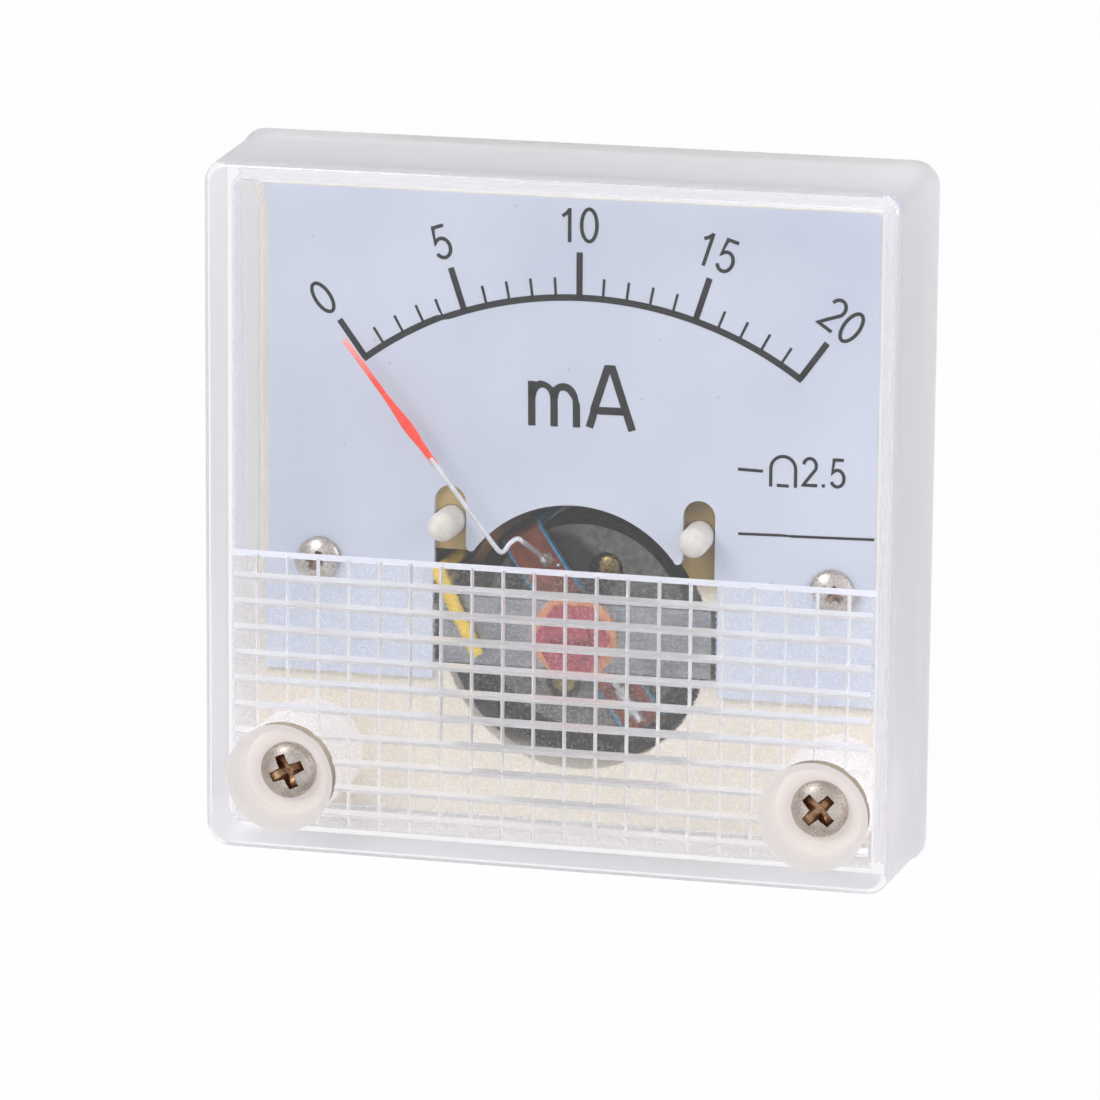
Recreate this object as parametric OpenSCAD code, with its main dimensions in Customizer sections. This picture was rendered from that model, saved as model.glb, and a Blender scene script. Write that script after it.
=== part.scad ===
// Square moving-coil panel meter: clear ribbed cover, round rear barrel, core-magnet movement.
// Frame: origin at the centre of the panel seat, the plane of the cover's rim and the flange's rear face.
// +Z is up, the dial faces -Y, the barrel and the terminals point along +Y. Millimetres.

/* [Cover] */
// Width and height of the square cover at its rear rim
face_w = 45; // [44:0.5:50]
// Depth of the cover, from its front face to the panel
cover_d = 10; // [9.5:0.1:12]
// How far each side leans in over the cover's depth
cover_draft = 0.38; // [0.1:0.02:0.5]
// Thickness of the cover's side walls
side_wall = 1.35; // [1:0.05:1.6]
// Thickness of the cover's front wall
window_t = 2.5; // [2:0.1:2.7]
// Radius of the cover's upright corners
corner_r = 1.6; // [1.2:0.1:2]
// Rounding of the cover's front edge
edge_r = 0.7; // [0.3:0.05:0.8]

/* [Ribbed panel] */
// Height of the ribbed panel's upper edge
rib_top_z = -2.9; // [-4:0.1:-2]
// How far the ribbed panel is let into the front wall from behind
rib_recess = 0.45; // [0.3:0.05:0.6]
// Spacing of the level ribs
rib_pitch_z = 1.6; // [1.4:0.1:2]
// Spacing of the upright ribs
rib_pitch_x = 2; // [1.8:0.1:2.6]
// Depth of the groove between two level ribs
rib_depth_z = 0.27; // [0.15:0.02:0.35]
// Depth of the groove between two upright ribs
rib_depth_x = 0.18; // [0.1:0.02:0.25]

/* [Mounting screws] */
// Gap between the bosses round the wells and the cover's side walls
boss_side_gap = 0.22; // [0.12:0.02:0.4]
// Gap between the bosses round the wells and the cover's lower wall
boss_low_gap = 0.12; // [0.08:0.02:0.3]
// Diameter of the well round each screw head
well_d = 5.9; // [5.2:0.1:6]
// Depth of the wells
well_depth = 2.4; // [1.9:0.1:3]
// Diameter of the mounting screws' thread
screw_d = 2.5; // [2.4:0.1:2.6]
// Diameter of the mounting screws' plain shank
shank_d = 2.1; // [1.9:0.05:2.1]
// Diameter of the mounting screws' heads
head_d = 3.6; // [3.4:0.1:4.4]
// Height of the mounting screws' heads
head_h = 0.9; // [0.8:0.1:1.2]
// Reach of the mounting screws behind the panel seat
screw_tail = 9; // [8:0.5:12]
// Thickness of the panel that the nuts are set for
panel_t = 2.5; // [2.3:0.1:3]

/* [Base] */
// Thickness of the base's square flange
flange_t = 1.2; // [1:0.1:1.3]
// How far the barrel, which the panel's round cut-out takes, lies inside the face all round
barrel_inset = 3.7; // [3.5:0.05:3.9]
// Depth of the barrel behind the panel seat
barrel_len = 16; // [15.8:0.2:20]
// Thickness of the barrel's round wall
barrel_wall = 1.2; // [1:0.1:1.3]
// Thickness of the barrel's rear wall
rear_wall = 2; // [1.6:0.1:2.1]

/* [Dial] */
// How far the dial plate's sides lie inside the base's flange
dial_inset = 0.55; // [0.4:0.05:1.1]
// How far the dial plate's upper edge lies inside the base's flange
dial_top_inset = 0.75; // [0.4:0.05:1.4]
// Height of the dial plate's lower edge
dial_bottom_z = -12.1; // [-12.6:0.1:-11.7]
// Thickness of the dial plate
dial_t = 0.4; // [0.3:0.1:0.6]
// Radius of the arched cut-out for the movement
arch_r = 8.3; // [8.1:0.1:8.5]
// Height of the slots' upper ends above the stop posts
slot_rise = 2.3; // [1.8:0.1:2.5]
// Distance of the dial screws from the dial plate's sides
dial_screw_inset = 3.5; // [3.4:0.1:3.9]
// Height of the dial screws
dial_screw_z = -4.7; // [-5:0.1:-4.4]
// Diameter of the dial screws' heads
dial_head_d = 2.9; // [2.6:0.1:3]

/* [Movement] */
// Height between the movement's lowest corners and the barrel's wall
movement_gap = 1.78; // [1.7:0.02:1.96]
// Angle of the pointer at rest, left of upright
rest_angle = 38.2; // [37:0.2:39]
// Radius of the core magnet
core_r = 6.7; // [6.5:0.05:6.75]
// Room between the rear jewel screw and the barrel's rear wall
rear_room = 0.8; // [0.5:0.1:1.2]
// Distance of the core magnet's front face behind the panel seat
core_y = 1.6; // [1.5:0.1:1.8]
// Inner radius of the yoke ring
ring_in_r = 7.9; // [7.9:0.05:8]
// Thickness of the yoke ring's wall
ring_wall = 0.65; // [0.5:0.05:0.7]
// Distance of the movement screws from the axis
ear_x = 10.4; // [10.2:0.1:10.6]
// Diameter of the movement screws
frame_screw_d = 1.6; // [1.4:0.1:1.7]
// Thickness of the bridges' strip
bridge_t = 0.8; // [0.6:0.05:0.85]
// Width of the bridges' strip
bridge_w = 4.4; // [4:0.1:4.6]
// Diameter of the jewel screws
jewel_d = 2.6; // [2.2:0.1:2.8]

/* [Moving coil] */
// Width of the winding
coil_w = 2.6; // [2.2:0.1:2.8]
// Thickness of the winding
winding_t = 0.4; // [0.3:0.05:0.45]
// Thickness of the metal former under the winding
former_t = 0.15; // [0.1:0.05:0.2]
// Gap between the core magnet and the former
coil_gap = 0.3; // [0.25:0.01:0.34]
// Angle of the coil's front bar at rest, left of upright
coil_angle = 34.5; // [33:0.5:36]
// Diameter of the pivot staffs
staff_d = 0.5; // [0.4:0.05:0.6]
// Number of turns in each hairspring
spring_turns = 4; // [3:1:5]
// Outer radius of the hairsprings
spring_r = 3; // [2.8:0.1:3.2]

/* [Pointer] */
// Distance of the pointer in front of the panel seat
pointer_y = 3.3; // [3.1:0.1:3.4]
// Distance of the pointer's tip from the axis
pointer_r = 23.9; // [22:0.1:24.2]
// Diameter of the pointer's wire
wire_d = 0.34; // [0.3:0.02:0.4]
// Distance of the coloured vane's inner end from the axis
vane_in_r = 14; // [13.5:0.1:15]
// Width of the vane at its widest
vane_w = 0.7; // [0.5:0.02:0.9]
// Distance between the stop posts
post_spacing = 16.4; // [16.2:0.1:16.6]
// Height of the stop posts above the coil's axis
post_rise = 7.1; // [6.9:0.1:7.3]
// Diameter of the stop posts
post_d = 1.9; // [1.7:0.05:2]
// Distance of the posts' tips in front of the panel seat
post_tip = 4.3; // [4:0.1:4.6]

/* [Terminals] */
// Distance between the two terminals
terminal_spacing = 19; // [18:0.5:20]
// Height of the terminals
terminal_z = 5; // [4:0.5:7]
// Diameter of the terminals' thread
terminal_d = 3; // [2.8:0.1:3.2]
// Length of the terminals behind the barrel
terminal_tail = 10.5; // [10:0.5:14]
// Width across the flats of the terminal nuts
terminal_af = 5.5; // [5:0.5:6]

/* [Hidden] */
$fn = 64;

// Clearances
slip = 0.15;          // side gap of a piece dropped into its seat
hole_gap = 0.3;       // gap on the radius of a hole that a screw passes
thread_gap = 0.05;    // gap on the radius between a thread and its own hole
post_gap = 0.1;       // gap on the radius between a stop post and its slot
turn_gap = 0.05;      // gap on the radius between the zero lever and its shaft
staff_gap = 0.08;     // gap on the radius between a staff and its jewel
cut = 1;              // how far a cutting tool runs past what it cuts

// Cover
front_y = -cover_d;
rear_half = face_w / 2;
front_half = rear_half - cover_draft;
window_in_y = front_y + window_t;
panel_in_y = window_in_y - rib_recess;
front_in_half = front_half - side_wall;
rear_in_half = rear_half - side_wall;
cavity_corner_r = 0.6;
boss_wall = 0.4;
boss_d = well_d + 2 * boss_wall;
screw_x = front_in_half - boss_d / 2 - boss_side_gap;
screw_z = boss_d / 2 + boss_low_gap - front_in_half;
screw_seat_y = front_y + well_depth;
rib_rows = floor((rib_top_z - rib_recess + front_in_half) / rib_pitch_z);
rib_columns = floor((front_in_half - cavity_corner_r) / rib_pitch_x);

// Base
flange_y = -flange_t;
flange_half = rear_in_half - cover_draft * flange_t / cover_d - slip;
barrel_d = face_w - 2 * barrel_inset;
barrel_r = barrel_d / 2;
barrel_in_r = barrel_r - barrel_wall;
rear_in_y = barrel_len - rear_wall;
thread_depth = 0.5;   // difference between a thread's crest and root diameters
ear_h = bridge_w;
ear_end_x = ear_x + 1.7;
ring_out_r = ring_in_r + ring_wall;
ring_gap = 0.25;      // least gap between the yoke ring and the barrel's wall
pivot_z = max(
    movement_gap + ear_h / 2 - sqrt(pow(barrel_in_r, 2) - pow(ear_end_x, 2)),
    ring_gap + ring_out_r - barrel_in_r
);

// Mounting hardware
washer_t = 0.5;
nut_h = 2;
nut_end_y = panel_t + washer_t + nut_h;

// Dial
dial_y = flange_y - dial_t;
dial_w = 2 * (flange_half - dial_inset);
dial_top_z = flange_half - dial_top_inset;
dial_screw_x = dial_w / 2 - dial_screw_inset;
dial_thread_d = 1.4;
dial_boss_d = 4;
arch_rise = 0.3;      // how far the arch's centre lies above the coil's axis
deck_boss_y = 3;      // how far the deck's own bosses reach back

// Stops
post_x = post_spacing / 2;
post_z = pivot_z + post_rise;
slot_top_z = post_z + slot_rise;
slot_w = post_d + 2 * post_gap;
post_seat_y = 1.8;

// Movement: what stands behind the core magnet fills the barrel's depth up to the rear room
carrier_t = 0.7;
spring_room = 1.3;    // space between a coil bar and its bridge
insulator_t = 0.3;
jewel_nut_h = 0.8;
jewel_proud = 0.3;
coil_t = former_t + winding_t;
rear_stack = carrier_t + coil_gap + coil_t + spring_room + bridge_t + insulator_t + jewel_nut_h + jewel_proud;
core_end_y = rear_in_y - rear_room - rear_stack;
carrier_end_y = core_end_y + carrier_t;
ring_y = core_y + 0.4;
former_r = core_r + coil_gap;
former_y0 = core_y - coil_gap;
former_y1 = carrier_end_y + coil_gap;
coil_y0 = former_y0 - coil_t;
coil_y1 = former_y1 + coil_t;
coil_out_r = former_r + coil_t;
edge_t = 0.14;
bar_round = 0.2;      // rounding of the former's bends
coil_sweep_r = norm([coil_out_r, coil_w / 2 + edge_t]);
riser_x = coil_sweep_r + 0.35;
front_plate_y = coil_y0 - spring_room - bridge_t;
rear_plate_y = coil_y1 + spring_room;
front_foot_y = ring_y - bridge_t;
rear_foot_y = carrier_end_y;
lever_t = 0.35;
lever_y = front_plate_y + bridge_t;
anchor_y = rear_plate_y - lever_t;
jewel_cup = 0.5;
spring_h = 0.3;
spring_t = 0.09;
collet_r = 0.7;
collet_h = 0.8;
front_spring_y = coil_y0 - 0.3 - spring_h;
rear_spring_y = coil_y1 + 0.3;
tab_r = spring_r + spring_t / 2 + 0.05;

// Pointer
bead_r = 5;
bead_h = 0.3;
bend_r = coil_out_r - 0.25;   // where the wire dips towards the coil
vane_t = 0.2;
vane_tip_w = 0.36;
vane_root_w = 0.44;

// Terminals
terminal_x = terminal_spacing / 2;
terminal_head_d = 6;
terminal_head_h = 1.8;
terminal_head_y = rear_in_y - terminal_head_h;
terminal_washer_t = 0.6;
terminal_nut_h = 2.2;
tag_t = 0.5;
tag_w = 2.2;
tag_reach = 8.5;
tag_y = barrel_len + terminal_washer_t + terminal_nut_h;
outer_nut_y = tag_y + tag_t;
free_thread_y = outer_nut_y + terminal_nut_h + 0.4;

// ---------- Helpers ----------

// A flat rectangle with round corners, centred
module round_rect(w, h, r) {
    square([w, h - 2 * r], center = true);
    square([w - 2 * r, h], center = true);
    for (x = [-1, 1], z = [-1, 1]) translate([x * (w / 2 - r), z * (h / 2 - r)]) circle(r);
}

// Extrudes an outline drawn in x and z along Y, from y0 to y1
module along_y(y0, y1) {
    translate([0, y1, 0]) rotate([90, 0, 0]) linear_extrude(y1 - y0) children();
}

// A round bar along Y from y0 to y1
module bar_y(d, y0, y1) {
    translate([0, y0, 0]) rotate([-90, 0, 0]) cylinder(d = d, h = y1 - y0);
}

// A flat ring on the Y axis from y0 to y1
module flat_ring(d_out, d_in, y0, y1) {
    difference() {
        bar_y(d_out, y0, y1);
        bar_y(d_in, y0 - cut, y1 + cut);
    }
}

// Its children at the left and the right of the middle plane, at height z
module both_sides(x, z) {
    for (s = [-1, 1]) translate([s * x, 0, z]) children();
}

// Its children, drawn about an upright line, at the coil's axis
module at_axis(angle = 0) {
    translate([0, 0, pivot_z]) rotate([0, -angle, 0]) children();
}

driver_slot_w = 0.4;
driver_slot_h = 0.4;

// A screwdriver slot across a head, from y0 to y1
module slot_y(length, y0, y1) {
    translate([-length / 2, y0, -driver_slot_w / 2]) cube([length, y1 - y0, driver_slot_w]);
}

module hex_nut(af, h, hole_d, y0) {
    difference() {
        translate([0, y0, 0]) rotate([-90, 0, 0]) cylinder(d = af / cos(30), h = h, $fn = 6);
        bar_y(hole_d, y0 - cut, y0 + h + cut);
    }
}

// A domed screw head on the Y axis that bears on y0 and rises towards -Y
module domed_head(d, h, y0) {
    rim = h * 0.45;
    crown_r = (d * d / 4 + pow(h - rim, 2)) / (2 * (h - rim));
    intersection() {
        bar_y(d, y0 - h, y0);
        translate([0, y0 - h + crown_r, 0]) sphere(crown_r);
    }
}

recess_share = 0.62;   // reach of a cross recess as a share of its head

// A cross recess, cut from a head whose crown is at y0
module cross_recess(size, depth, y0, angle) {
    arm = size * 0.26;
    translate([0, y0 - cut, 0]) rotate([0, angle, 0]) for (a = [0, 90]) rotate([0, a, 0])
        translate([-size / 2, 0, -arm / 2]) cube([size, cut + depth, arm]);
}

function unit(v) = v / norm(v);

// A round wire along a path: one ring of corners at each point, set square to the mean direction
module wire(path, d, sides = 12) {
    last = len(path) - 1;
    dir = [for (i = [0 : last]) unit(
        (i == 0 ? [0, 0, 0] : unit(path[i] - path[i - 1]))
        + (i == last ? [0, 0, 0] : unit(path[i + 1] - path[i])))];
    side = [for (i = [0 : last]) unit(cross(dir[i], [0.83, 0.11, 0.55]))];
    points = [for (i = [0 : last], k = [0 : sides - 1])
        path[i] + d / 2 * (cos(360 * k / sides) * side[i] + sin(360 * k / sides) * cross(dir[i], side[i]))];
    walls = [for (i = [0 : last - 1], k = [0 : sides - 1])
        let (n = (k + 1) % sides)
        for (tri = [[i * sides + k, (i + 1) * sides + n, i * sides + n],
            [i * sides + k, (i + 1) * sides + k, (i + 1) * sides + n]]) tri];
    start = [for (k = [0 : sides - 1]) k];
    end = [for (k = [sides - 1 : -1 : 0]) last * sides + k];
    polyhedron(points, concat(walls, [start, end]));
}

// ---------- Cover ----------

// The cover's four corners as upright rounds along Y, the front edge rounded where round is above 0
module cover_corners(half, y0, y1, r, round) {
    for (x = [-1, 1], z = [-1, 1]) translate([x * (half - r), 0, z * (half - r)]) {
        if (round > 0) {
            translate([0, y0 + round, 0]) rotate([-90, 0, 0]) rotate_extrude($fn = 32) intersection() {
                translate([r - round, 0]) circle(round, $fn = 32);
                translate([0, -round]) square([r, round]);
            }
            translate([0, y0, 0]) rotate([-90, 0, 0]) cylinder(r = r - round, h = 0.1, $fn = 32);
        } else {
            translate([0, y0, 0]) rotate([-90, 0, 0]) cylinder(r = r, h = y1 - y0, $fn = 32);
        }
    }
}

module cover_outside() {
    hull() {
        cover_corners(front_half, front_y, front_y + edge_r, corner_r, edge_r);
        cover_corners(rear_half, -0.05, 0, corner_r, 0);
    }
}

module cover_cavity() {
    run = cover_draft * cut / cover_d;
    hull() {
        cover_corners(front_in_half, window_in_y, window_in_y + 0.05, cavity_corner_r, 0);
        cover_corners(rear_in_half + run, cut - 0.05, cut, cavity_corner_r, 0);
    }
}

// The step that lets the ribbed panel into the front wall, with its sloped upper edge
module panel_step() {
    w = 2 * (front_in_half - 0.1);
    low = -front_in_half + 0.1;
    translate([-w / 2, 0, 0]) rotate([90, 0, 90]) linear_extrude(w)
        polygon([[panel_in_y, low], [panel_in_y, rib_top_z - rib_recess],
            [window_in_y + 0.2, rib_top_z + 0.2], [window_in_y + 0.2, low]]);
}

// A groove's section: a right-angled notch of the given depth, drawn in y and across
function notch(depth) = [[panel_in_y - depth, 0], [panel_in_y + 0.1, depth + 0.1], [panel_in_y + 0.1, -depth - 0.1]];

module level_grooves() {
    w = 2 * (front_in_half - 0.3);
    for (row = [1 : rib_rows]) translate([-w / 2, 0, rib_top_z - row * rib_pitch_z])
        rotate([90, 0, 90]) linear_extrude(w) polygon(notch(rib_depth_z));
}

module upright_grooves() {
    top = rib_top_z - rib_recess;
    low = 0.3 - front_in_half;
    for (column = [-rib_columns : rib_columns]) translate([column * rib_pitch_x, 0, low])
        linear_extrude(top - low) polygon([for (p = notch(rib_depth_x)) [0.9 * p[1], p[0]]]);
}

module cover() {
    color("#dfe3ee", 0.45) difference() {
        union() {
            difference() {
                cover_outside();
                cover_cavity();
                panel_step();
                level_grooves();
                upright_grooves();
            }
            both_sides(screw_x, screw_z) bar_y(boss_d, screw_seat_y - 0.8, flange_y);
        }
        both_sides(screw_x, screw_z) {
            bar_y(well_d, front_y - cut, screw_seat_y);
            bar_y(shank_d + 2 * hole_gap, front_y - cut, cut);
        }
    }
}

// ---------- Mounting hardware ----------

module mounting_screws() {
    root_d = screw_d - thread_depth;
    color("#b0a8a0") for (s = [-1, 1]) translate([s * screw_x, 0, screw_z]) difference() {
        union() {
            domed_head(head_d, head_h, screw_seat_y);
            bar_y(shank_d, screw_seat_y - 0.1, 0.1);
            bar_y(screw_d, 0, panel_t);
            bar_y(root_d, panel_t - 0.1, nut_end_y + 0.1);
            bar_y(screw_d, nut_end_y, screw_tail);
        }
        cross_recess(recess_share * head_d, 0.6, screw_seat_y - head_h, 10 + 35 * s);
    }
}

module mounting_washers() {
    color("#c4c6ca") both_sides(screw_x, screw_z)
        flat_ring(2 * screw_d + 0.4, screw_d - thread_depth + 2 * thread_gap, panel_t, panel_t + washer_t);
}

module mounting_nuts() {
    color("#c4c6ca") both_sides(screw_x, screw_z)
        hex_nut(2 * screw_d, nut_h, screw_d - thread_depth + 2 * thread_gap, panel_t + washer_t);
}

// ---------- Base ----------

// The opening in the deck for the movement, its ears and the lead beside it
module deck_opening() {
    translate([0, pivot_z]) {
        circle(ring_out_r + slip);
        square([2 * (ear_end_x + slip), ear_h + 2 * slip], center = true);
    }
    translate([-lead_x - lead_d, lead_z - lead_d]) square([3 * lead_d, 2 * lead_d]);
}

// The notch in the rear bosses for the rear bridge's risers
module rear_bridge_room() {
    translate([0, 0, pivot_z]) along_y(rear_foot_y - slip, rear_plate_y + bridge_t + slip)
        square([2 * (riser_x + bridge_t + slip), ear_h + 2 * slip], center = true);
}

module base_housing() {
    boss_d = frame_screw_d + 2.2;
    color("#e0d8c4") difference() {
        union() {
            difference() {
                union() {
                    along_y(flange_y, 0) round_rect(2 * flange_half, 2 * flange_half, cavity_corner_r);
                    bar_y(barrel_d, -0.1, barrel_len);
                }
                bar_y(2 * barrel_in_r, 0, rear_in_y);
            }
            both_sides(ear_x, pivot_z) bar_y(boss_d, rear_foot_y + bridge_t, rear_in_y + 0.1);
            both_sides(post_x, post_z) bar_y(post_d + 2, -0.1, deck_boss_y);
            intersection() {
                both_sides(dial_screw_x, dial_screw_z) bar_y(dial_boss_d, -0.1, deck_boss_y);
                bar_y(barrel_d - barrel_wall, -cut, barrel_len);
            }
        }
        along_y(flange_y - cut, 0.1) deck_opening();
        rear_bridge_room();
        both_sides(ear_x, pivot_z) bar_y(frame_screw_d + 2 * thread_gap, 0, rear_in_y - 0.5);
        both_sides(post_x, post_z) bar_y(post_d + 2 * thread_gap, flange_y - cut, post_seat_y);
        both_sides(dial_screw_x, dial_screw_z)
            bar_y(dial_thread_d + 2 * thread_gap, flange_y - cut, deck_boss_y - 0.6);
        both_sides(screw_x, screw_z) bar_y(shank_d + 2 * hole_gap, flange_y - cut, cut);
        both_sides(terminal_x, terminal_z) bar_y(terminal_d + 2 * thread_gap, cut, barrel_len + cut);
    }
}

// ---------- Dial ----------

// The cut-out: an arch over the movement, a slot for each stop post and the open lower part
module dial_opening() {
    open_top_z = pivot_z + arch_r * 0.55;
    half = post_x + slot_w / 2;
    intersection() {
        translate([0, pivot_z + arch_rise]) circle(arch_r);
        translate([-half, open_top_z - 0.2]) square([2 * half, 2 * arch_r]);
    }
    for (s = [-1, 1]) {
        translate([s * post_x, slot_top_z - slot_w / 2]) circle(d = slot_w);
        translate([s * post_x - slot_w / 2, open_top_z - 0.2])
            square([slot_w, slot_top_z - slot_w / 2 - open_top_z + 0.2]);
    }
    translate([-half, dial_bottom_z - cut]) square([2 * half, open_top_z - dial_bottom_z + cut]);
}

// Height at which the lobe between the arch and a slot ends in its round tip
lobe_z = pivot_z + arch_r * 0.66;
lobe_in_x = sqrt(pow(arch_r, 2) - pow(lobe_z - pivot_z - arch_rise, 2));
lobe_out_x = post_x - slot_w / 2;

module dial_plate() {
    color("#cfd5e5") along_y(dial_y, flange_y) {
        difference() {
            translate([-dial_w / 2, dial_bottom_z]) square([dial_w, dial_top_z - dial_bottom_z]);
            dial_opening();
            translate([-post_x, pivot_z]) square([2 * post_x, lobe_z - pivot_z]);
            for (s = [-1, 1]) translate([s * dial_screw_x, dial_screw_z])
                circle(d = dial_thread_d + 2 * hole_gap);
        }
        for (s = [-1, 1]) translate([s * (lobe_in_x + lobe_out_x) / 2, lobe_z])
            circle(d = lobe_out_x - lobe_in_x - 0.1);
    }
}

module dial_screws() {
    head = 0.9;
    color("#b9aea4") for (s = [-1, 1]) translate([s * dial_screw_x, 0, dial_screw_z]) difference() {
        union() {
            domed_head(dial_head_d, head, dial_y);
            bar_y(dial_thread_d, dial_y - 0.1, deck_boss_y - 1);
        }
        cross_recess(recess_share * dial_head_d, 0.5, dial_y - head, 20 + 30 * s);
    }
}

module stop_posts() {
    color("#f4f1e6") both_sides(post_x, post_z) {
        bar_y(post_d, -post_tip + post_d / 2, post_seat_y);
        translate([0, -post_tip + post_d / 2, 0]) sphere(d = post_d);
    }
}

// ---------- Magnet and yoke ----------

module yoke_ring() {
    notch_angle = 20;
    notch_w = 1.7;
    color("#26242a") difference() {
        union() {
            at_axis() bar_y(2 * ring_out_r, ring_y, core_end_y);
            at_axis() along_y(ring_y, core_end_y) round_rect(2 * ear_end_x, ear_h, 0.8);
        }
        at_axis() bar_y(2 * ring_in_r, ring_y - cut, core_end_y + cut);
        both_sides(ear_x, pivot_z) bar_y(frame_screw_d + 2 * slip, ring_y - cut, core_end_y + cut);
        at_axis(notch_angle) translate([0, 0, ring_in_r - 0.5]) linear_extrude(ring_wall + 1)
            polygon([[-notch_w / 2, ring_y - 0.1], [notch_w / 2, ring_y - 0.1], [0, ring_y + notch_w]]);
    }
}

rivet_d = 1.4;
rivet_head_d = 2.2;
rivet_head_h = 0.4;
rivet_sink = 0.7;

// Its children at the two rivets, one on each side of the axis
module at_rivets() {
    for (s = [-1, 1]) translate([s * 1.4, 0, pivot_z + s * 3.8]) children();
}

module core_magnet() {
    color("#6a6a68") difference() {
        at_axis() bar_y(2 * core_r, core_y, core_end_y);
        at_rivets() {
            bar_y(rivet_d + 2 * thread_gap, core_y - cut, core_end_y + cut);
            bar_y(rivet_head_d + 2 * thread_gap, core_y - cut, core_y + rivet_sink);
        }
    }
}

module core_carrier() {
    color("#c2a24e") difference() {
        at_axis() along_y(core_end_y, carrier_end_y) {
            circle(core_r - 0.7);
            square([2 * ear_end_x, 3], center = true);
        }
        at_rivets() bar_y(rivet_d + 2 * thread_gap, core_end_y - cut, carrier_end_y + cut);
        both_sides(ear_x, pivot_z) bar_y(frame_screw_d + 2 * slip, core_end_y - cut, carrier_end_y + cut);
    }
}

module core_rivets() {
    color("#b99a55") at_rivets() {
        bar_y(rivet_head_d, core_y + rivet_sink - rivet_head_h, core_y + rivet_sink);
        bar_y(rivet_d, core_y + rivet_sink - 0.1, carrier_end_y);
    }
}

// ---------- Bridges and bearings ----------

// A bridge: a strip bent to a U, its plate at plate_y and its two feet at foot_y
module bridge(plate_y, foot_y) {
    low = min(plate_y, foot_y);
    rise = abs(plate_y - foot_y) + bridge_t;
    translate([0, 0, pivot_z]) difference() {
        translate([0, 0, -bridge_w / 2]) linear_extrude(bridge_w) {
            translate([-riser_x - bridge_t, plate_y]) square([2 * (riser_x + bridge_t), bridge_t]);
            for (s = [-1, 1]) {
                translate([s * (riser_x + bridge_t / 2) - bridge_t / 2, low]) square([bridge_t, rise]);
                translate([s * (riser_x + ear_end_x) / 2 - (ear_end_x - riser_x) / 2, foot_y])
                    square([ear_end_x - riser_x, bridge_t]);
            }
        }
        bar_y(jewel_d + 2 * thread_gap, plate_y - cut, plate_y + bridge_t + cut);
        both_sides(ear_x, 0) bar_y(frame_screw_d + 2 * slip, foot_y - cut, foot_y + bridge_t + cut);
    }
}

module front_bridge() {
    color("#8d8f92") bridge(front_plate_y, front_foot_y);
}

module rear_bridge() {
    color("#8d8f92") bridge(rear_plate_y, rear_foot_y);
}

module movement_screws() {
    head = 0.8;
    color("#b9b4ac") for (s = [-1, 1]) translate([s * ear_x, 0, pivot_z]) difference() {
        union() {
            domed_head(1.7 * frame_screw_d, head, front_foot_y);
            bar_y(frame_screw_d, front_foot_y - 0.1, rear_in_y - 0.8);
        }
        slot_y(1.7 * frame_screw_d + cut, front_foot_y - head - cut, front_foot_y - head + driver_slot_h);
    }
}

// A slotted jewel screw: in is the y of its bearing end, out the y of its slotted end
module jewel_screw(in_y, out_y) {
    dir = sign(in_y - out_y);
    at_axis() difference() {
        bar_y(jewel_d, min(in_y, out_y), max(in_y, out_y));
        translate([0, in_y - dir * jewel_cup, 0]) rotate([-90 * dir, 0, 0])
            cylinder(d = staff_d + 2 * staff_gap, h = jewel_cup + cut);
        slot_y(jewel_d + cut, out_y - driver_slot_h, out_y + driver_slot_h);
    }
}

front_jewel_end_y = front_plate_y - insulator_t - jewel_nut_h - jewel_proud;
rear_jewel_end_y = rear_plate_y + bridge_t + insulator_t + jewel_nut_h + jewel_proud;

module jewel_screws() {
    color("#b8943f") {
        jewel_screw(lever_y + lever_t, front_jewel_end_y);
        jewel_screw(anchor_y, rear_jewel_end_y);
    }
}

module jewel_nuts() {
    color("#c9a24b") at_axis() {
        hex_nut(jewel_d + 1.6, jewel_nut_h, jewel_d + 2 * thread_gap,
            front_plate_y - insulator_t - jewel_nut_h);
        hex_nut(jewel_d + 1.6, jewel_nut_h, jewel_d + 2 * thread_gap,
            rear_plate_y + bridge_t + insulator_t);
    }
}

module insulators() {
    color("#8e3a48") at_axis() for (y = [front_plate_y - insulator_t, rear_plate_y + bridge_t])
        flat_ring(2 * jewel_d + 0.3, jewel_d + 2 * thread_gap, y, y + insulator_t);
}

// ---------- Hairsprings and their holders ----------

arm_angle = -60;

// A ring round a jewel screw with an arm and a tab that holds the spring's outer end
module spring_holder(y0, tab_y0, tab_y1, gap) {
    at_axis() {
        difference() {
            along_y(y0, y0 + lever_t) {
                circle(jewel_d / 2 + 0.9);
                rotate(arm_angle) translate([0, -0.5]) square([tab_r + 0.3, 1]);
            }
            bar_y(jewel_d + 2 * gap, y0 - cut, y0 + lever_t + cut);
        }
        along_y(tab_y0, tab_y1) rotate(arm_angle) translate([tab_r, -0.5]) square([0.3, 1]);
    }
}

module zero_lever() {
    color("#d98e62") spring_holder(lever_y, lever_y + 0.05, front_spring_y + spring_h, turn_gap);
}

module spring_anchor() {
    color("#d98e62") spring_holder(anchor_y, rear_spring_y, anchor_y + 0.05, thread_gap);
}

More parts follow.
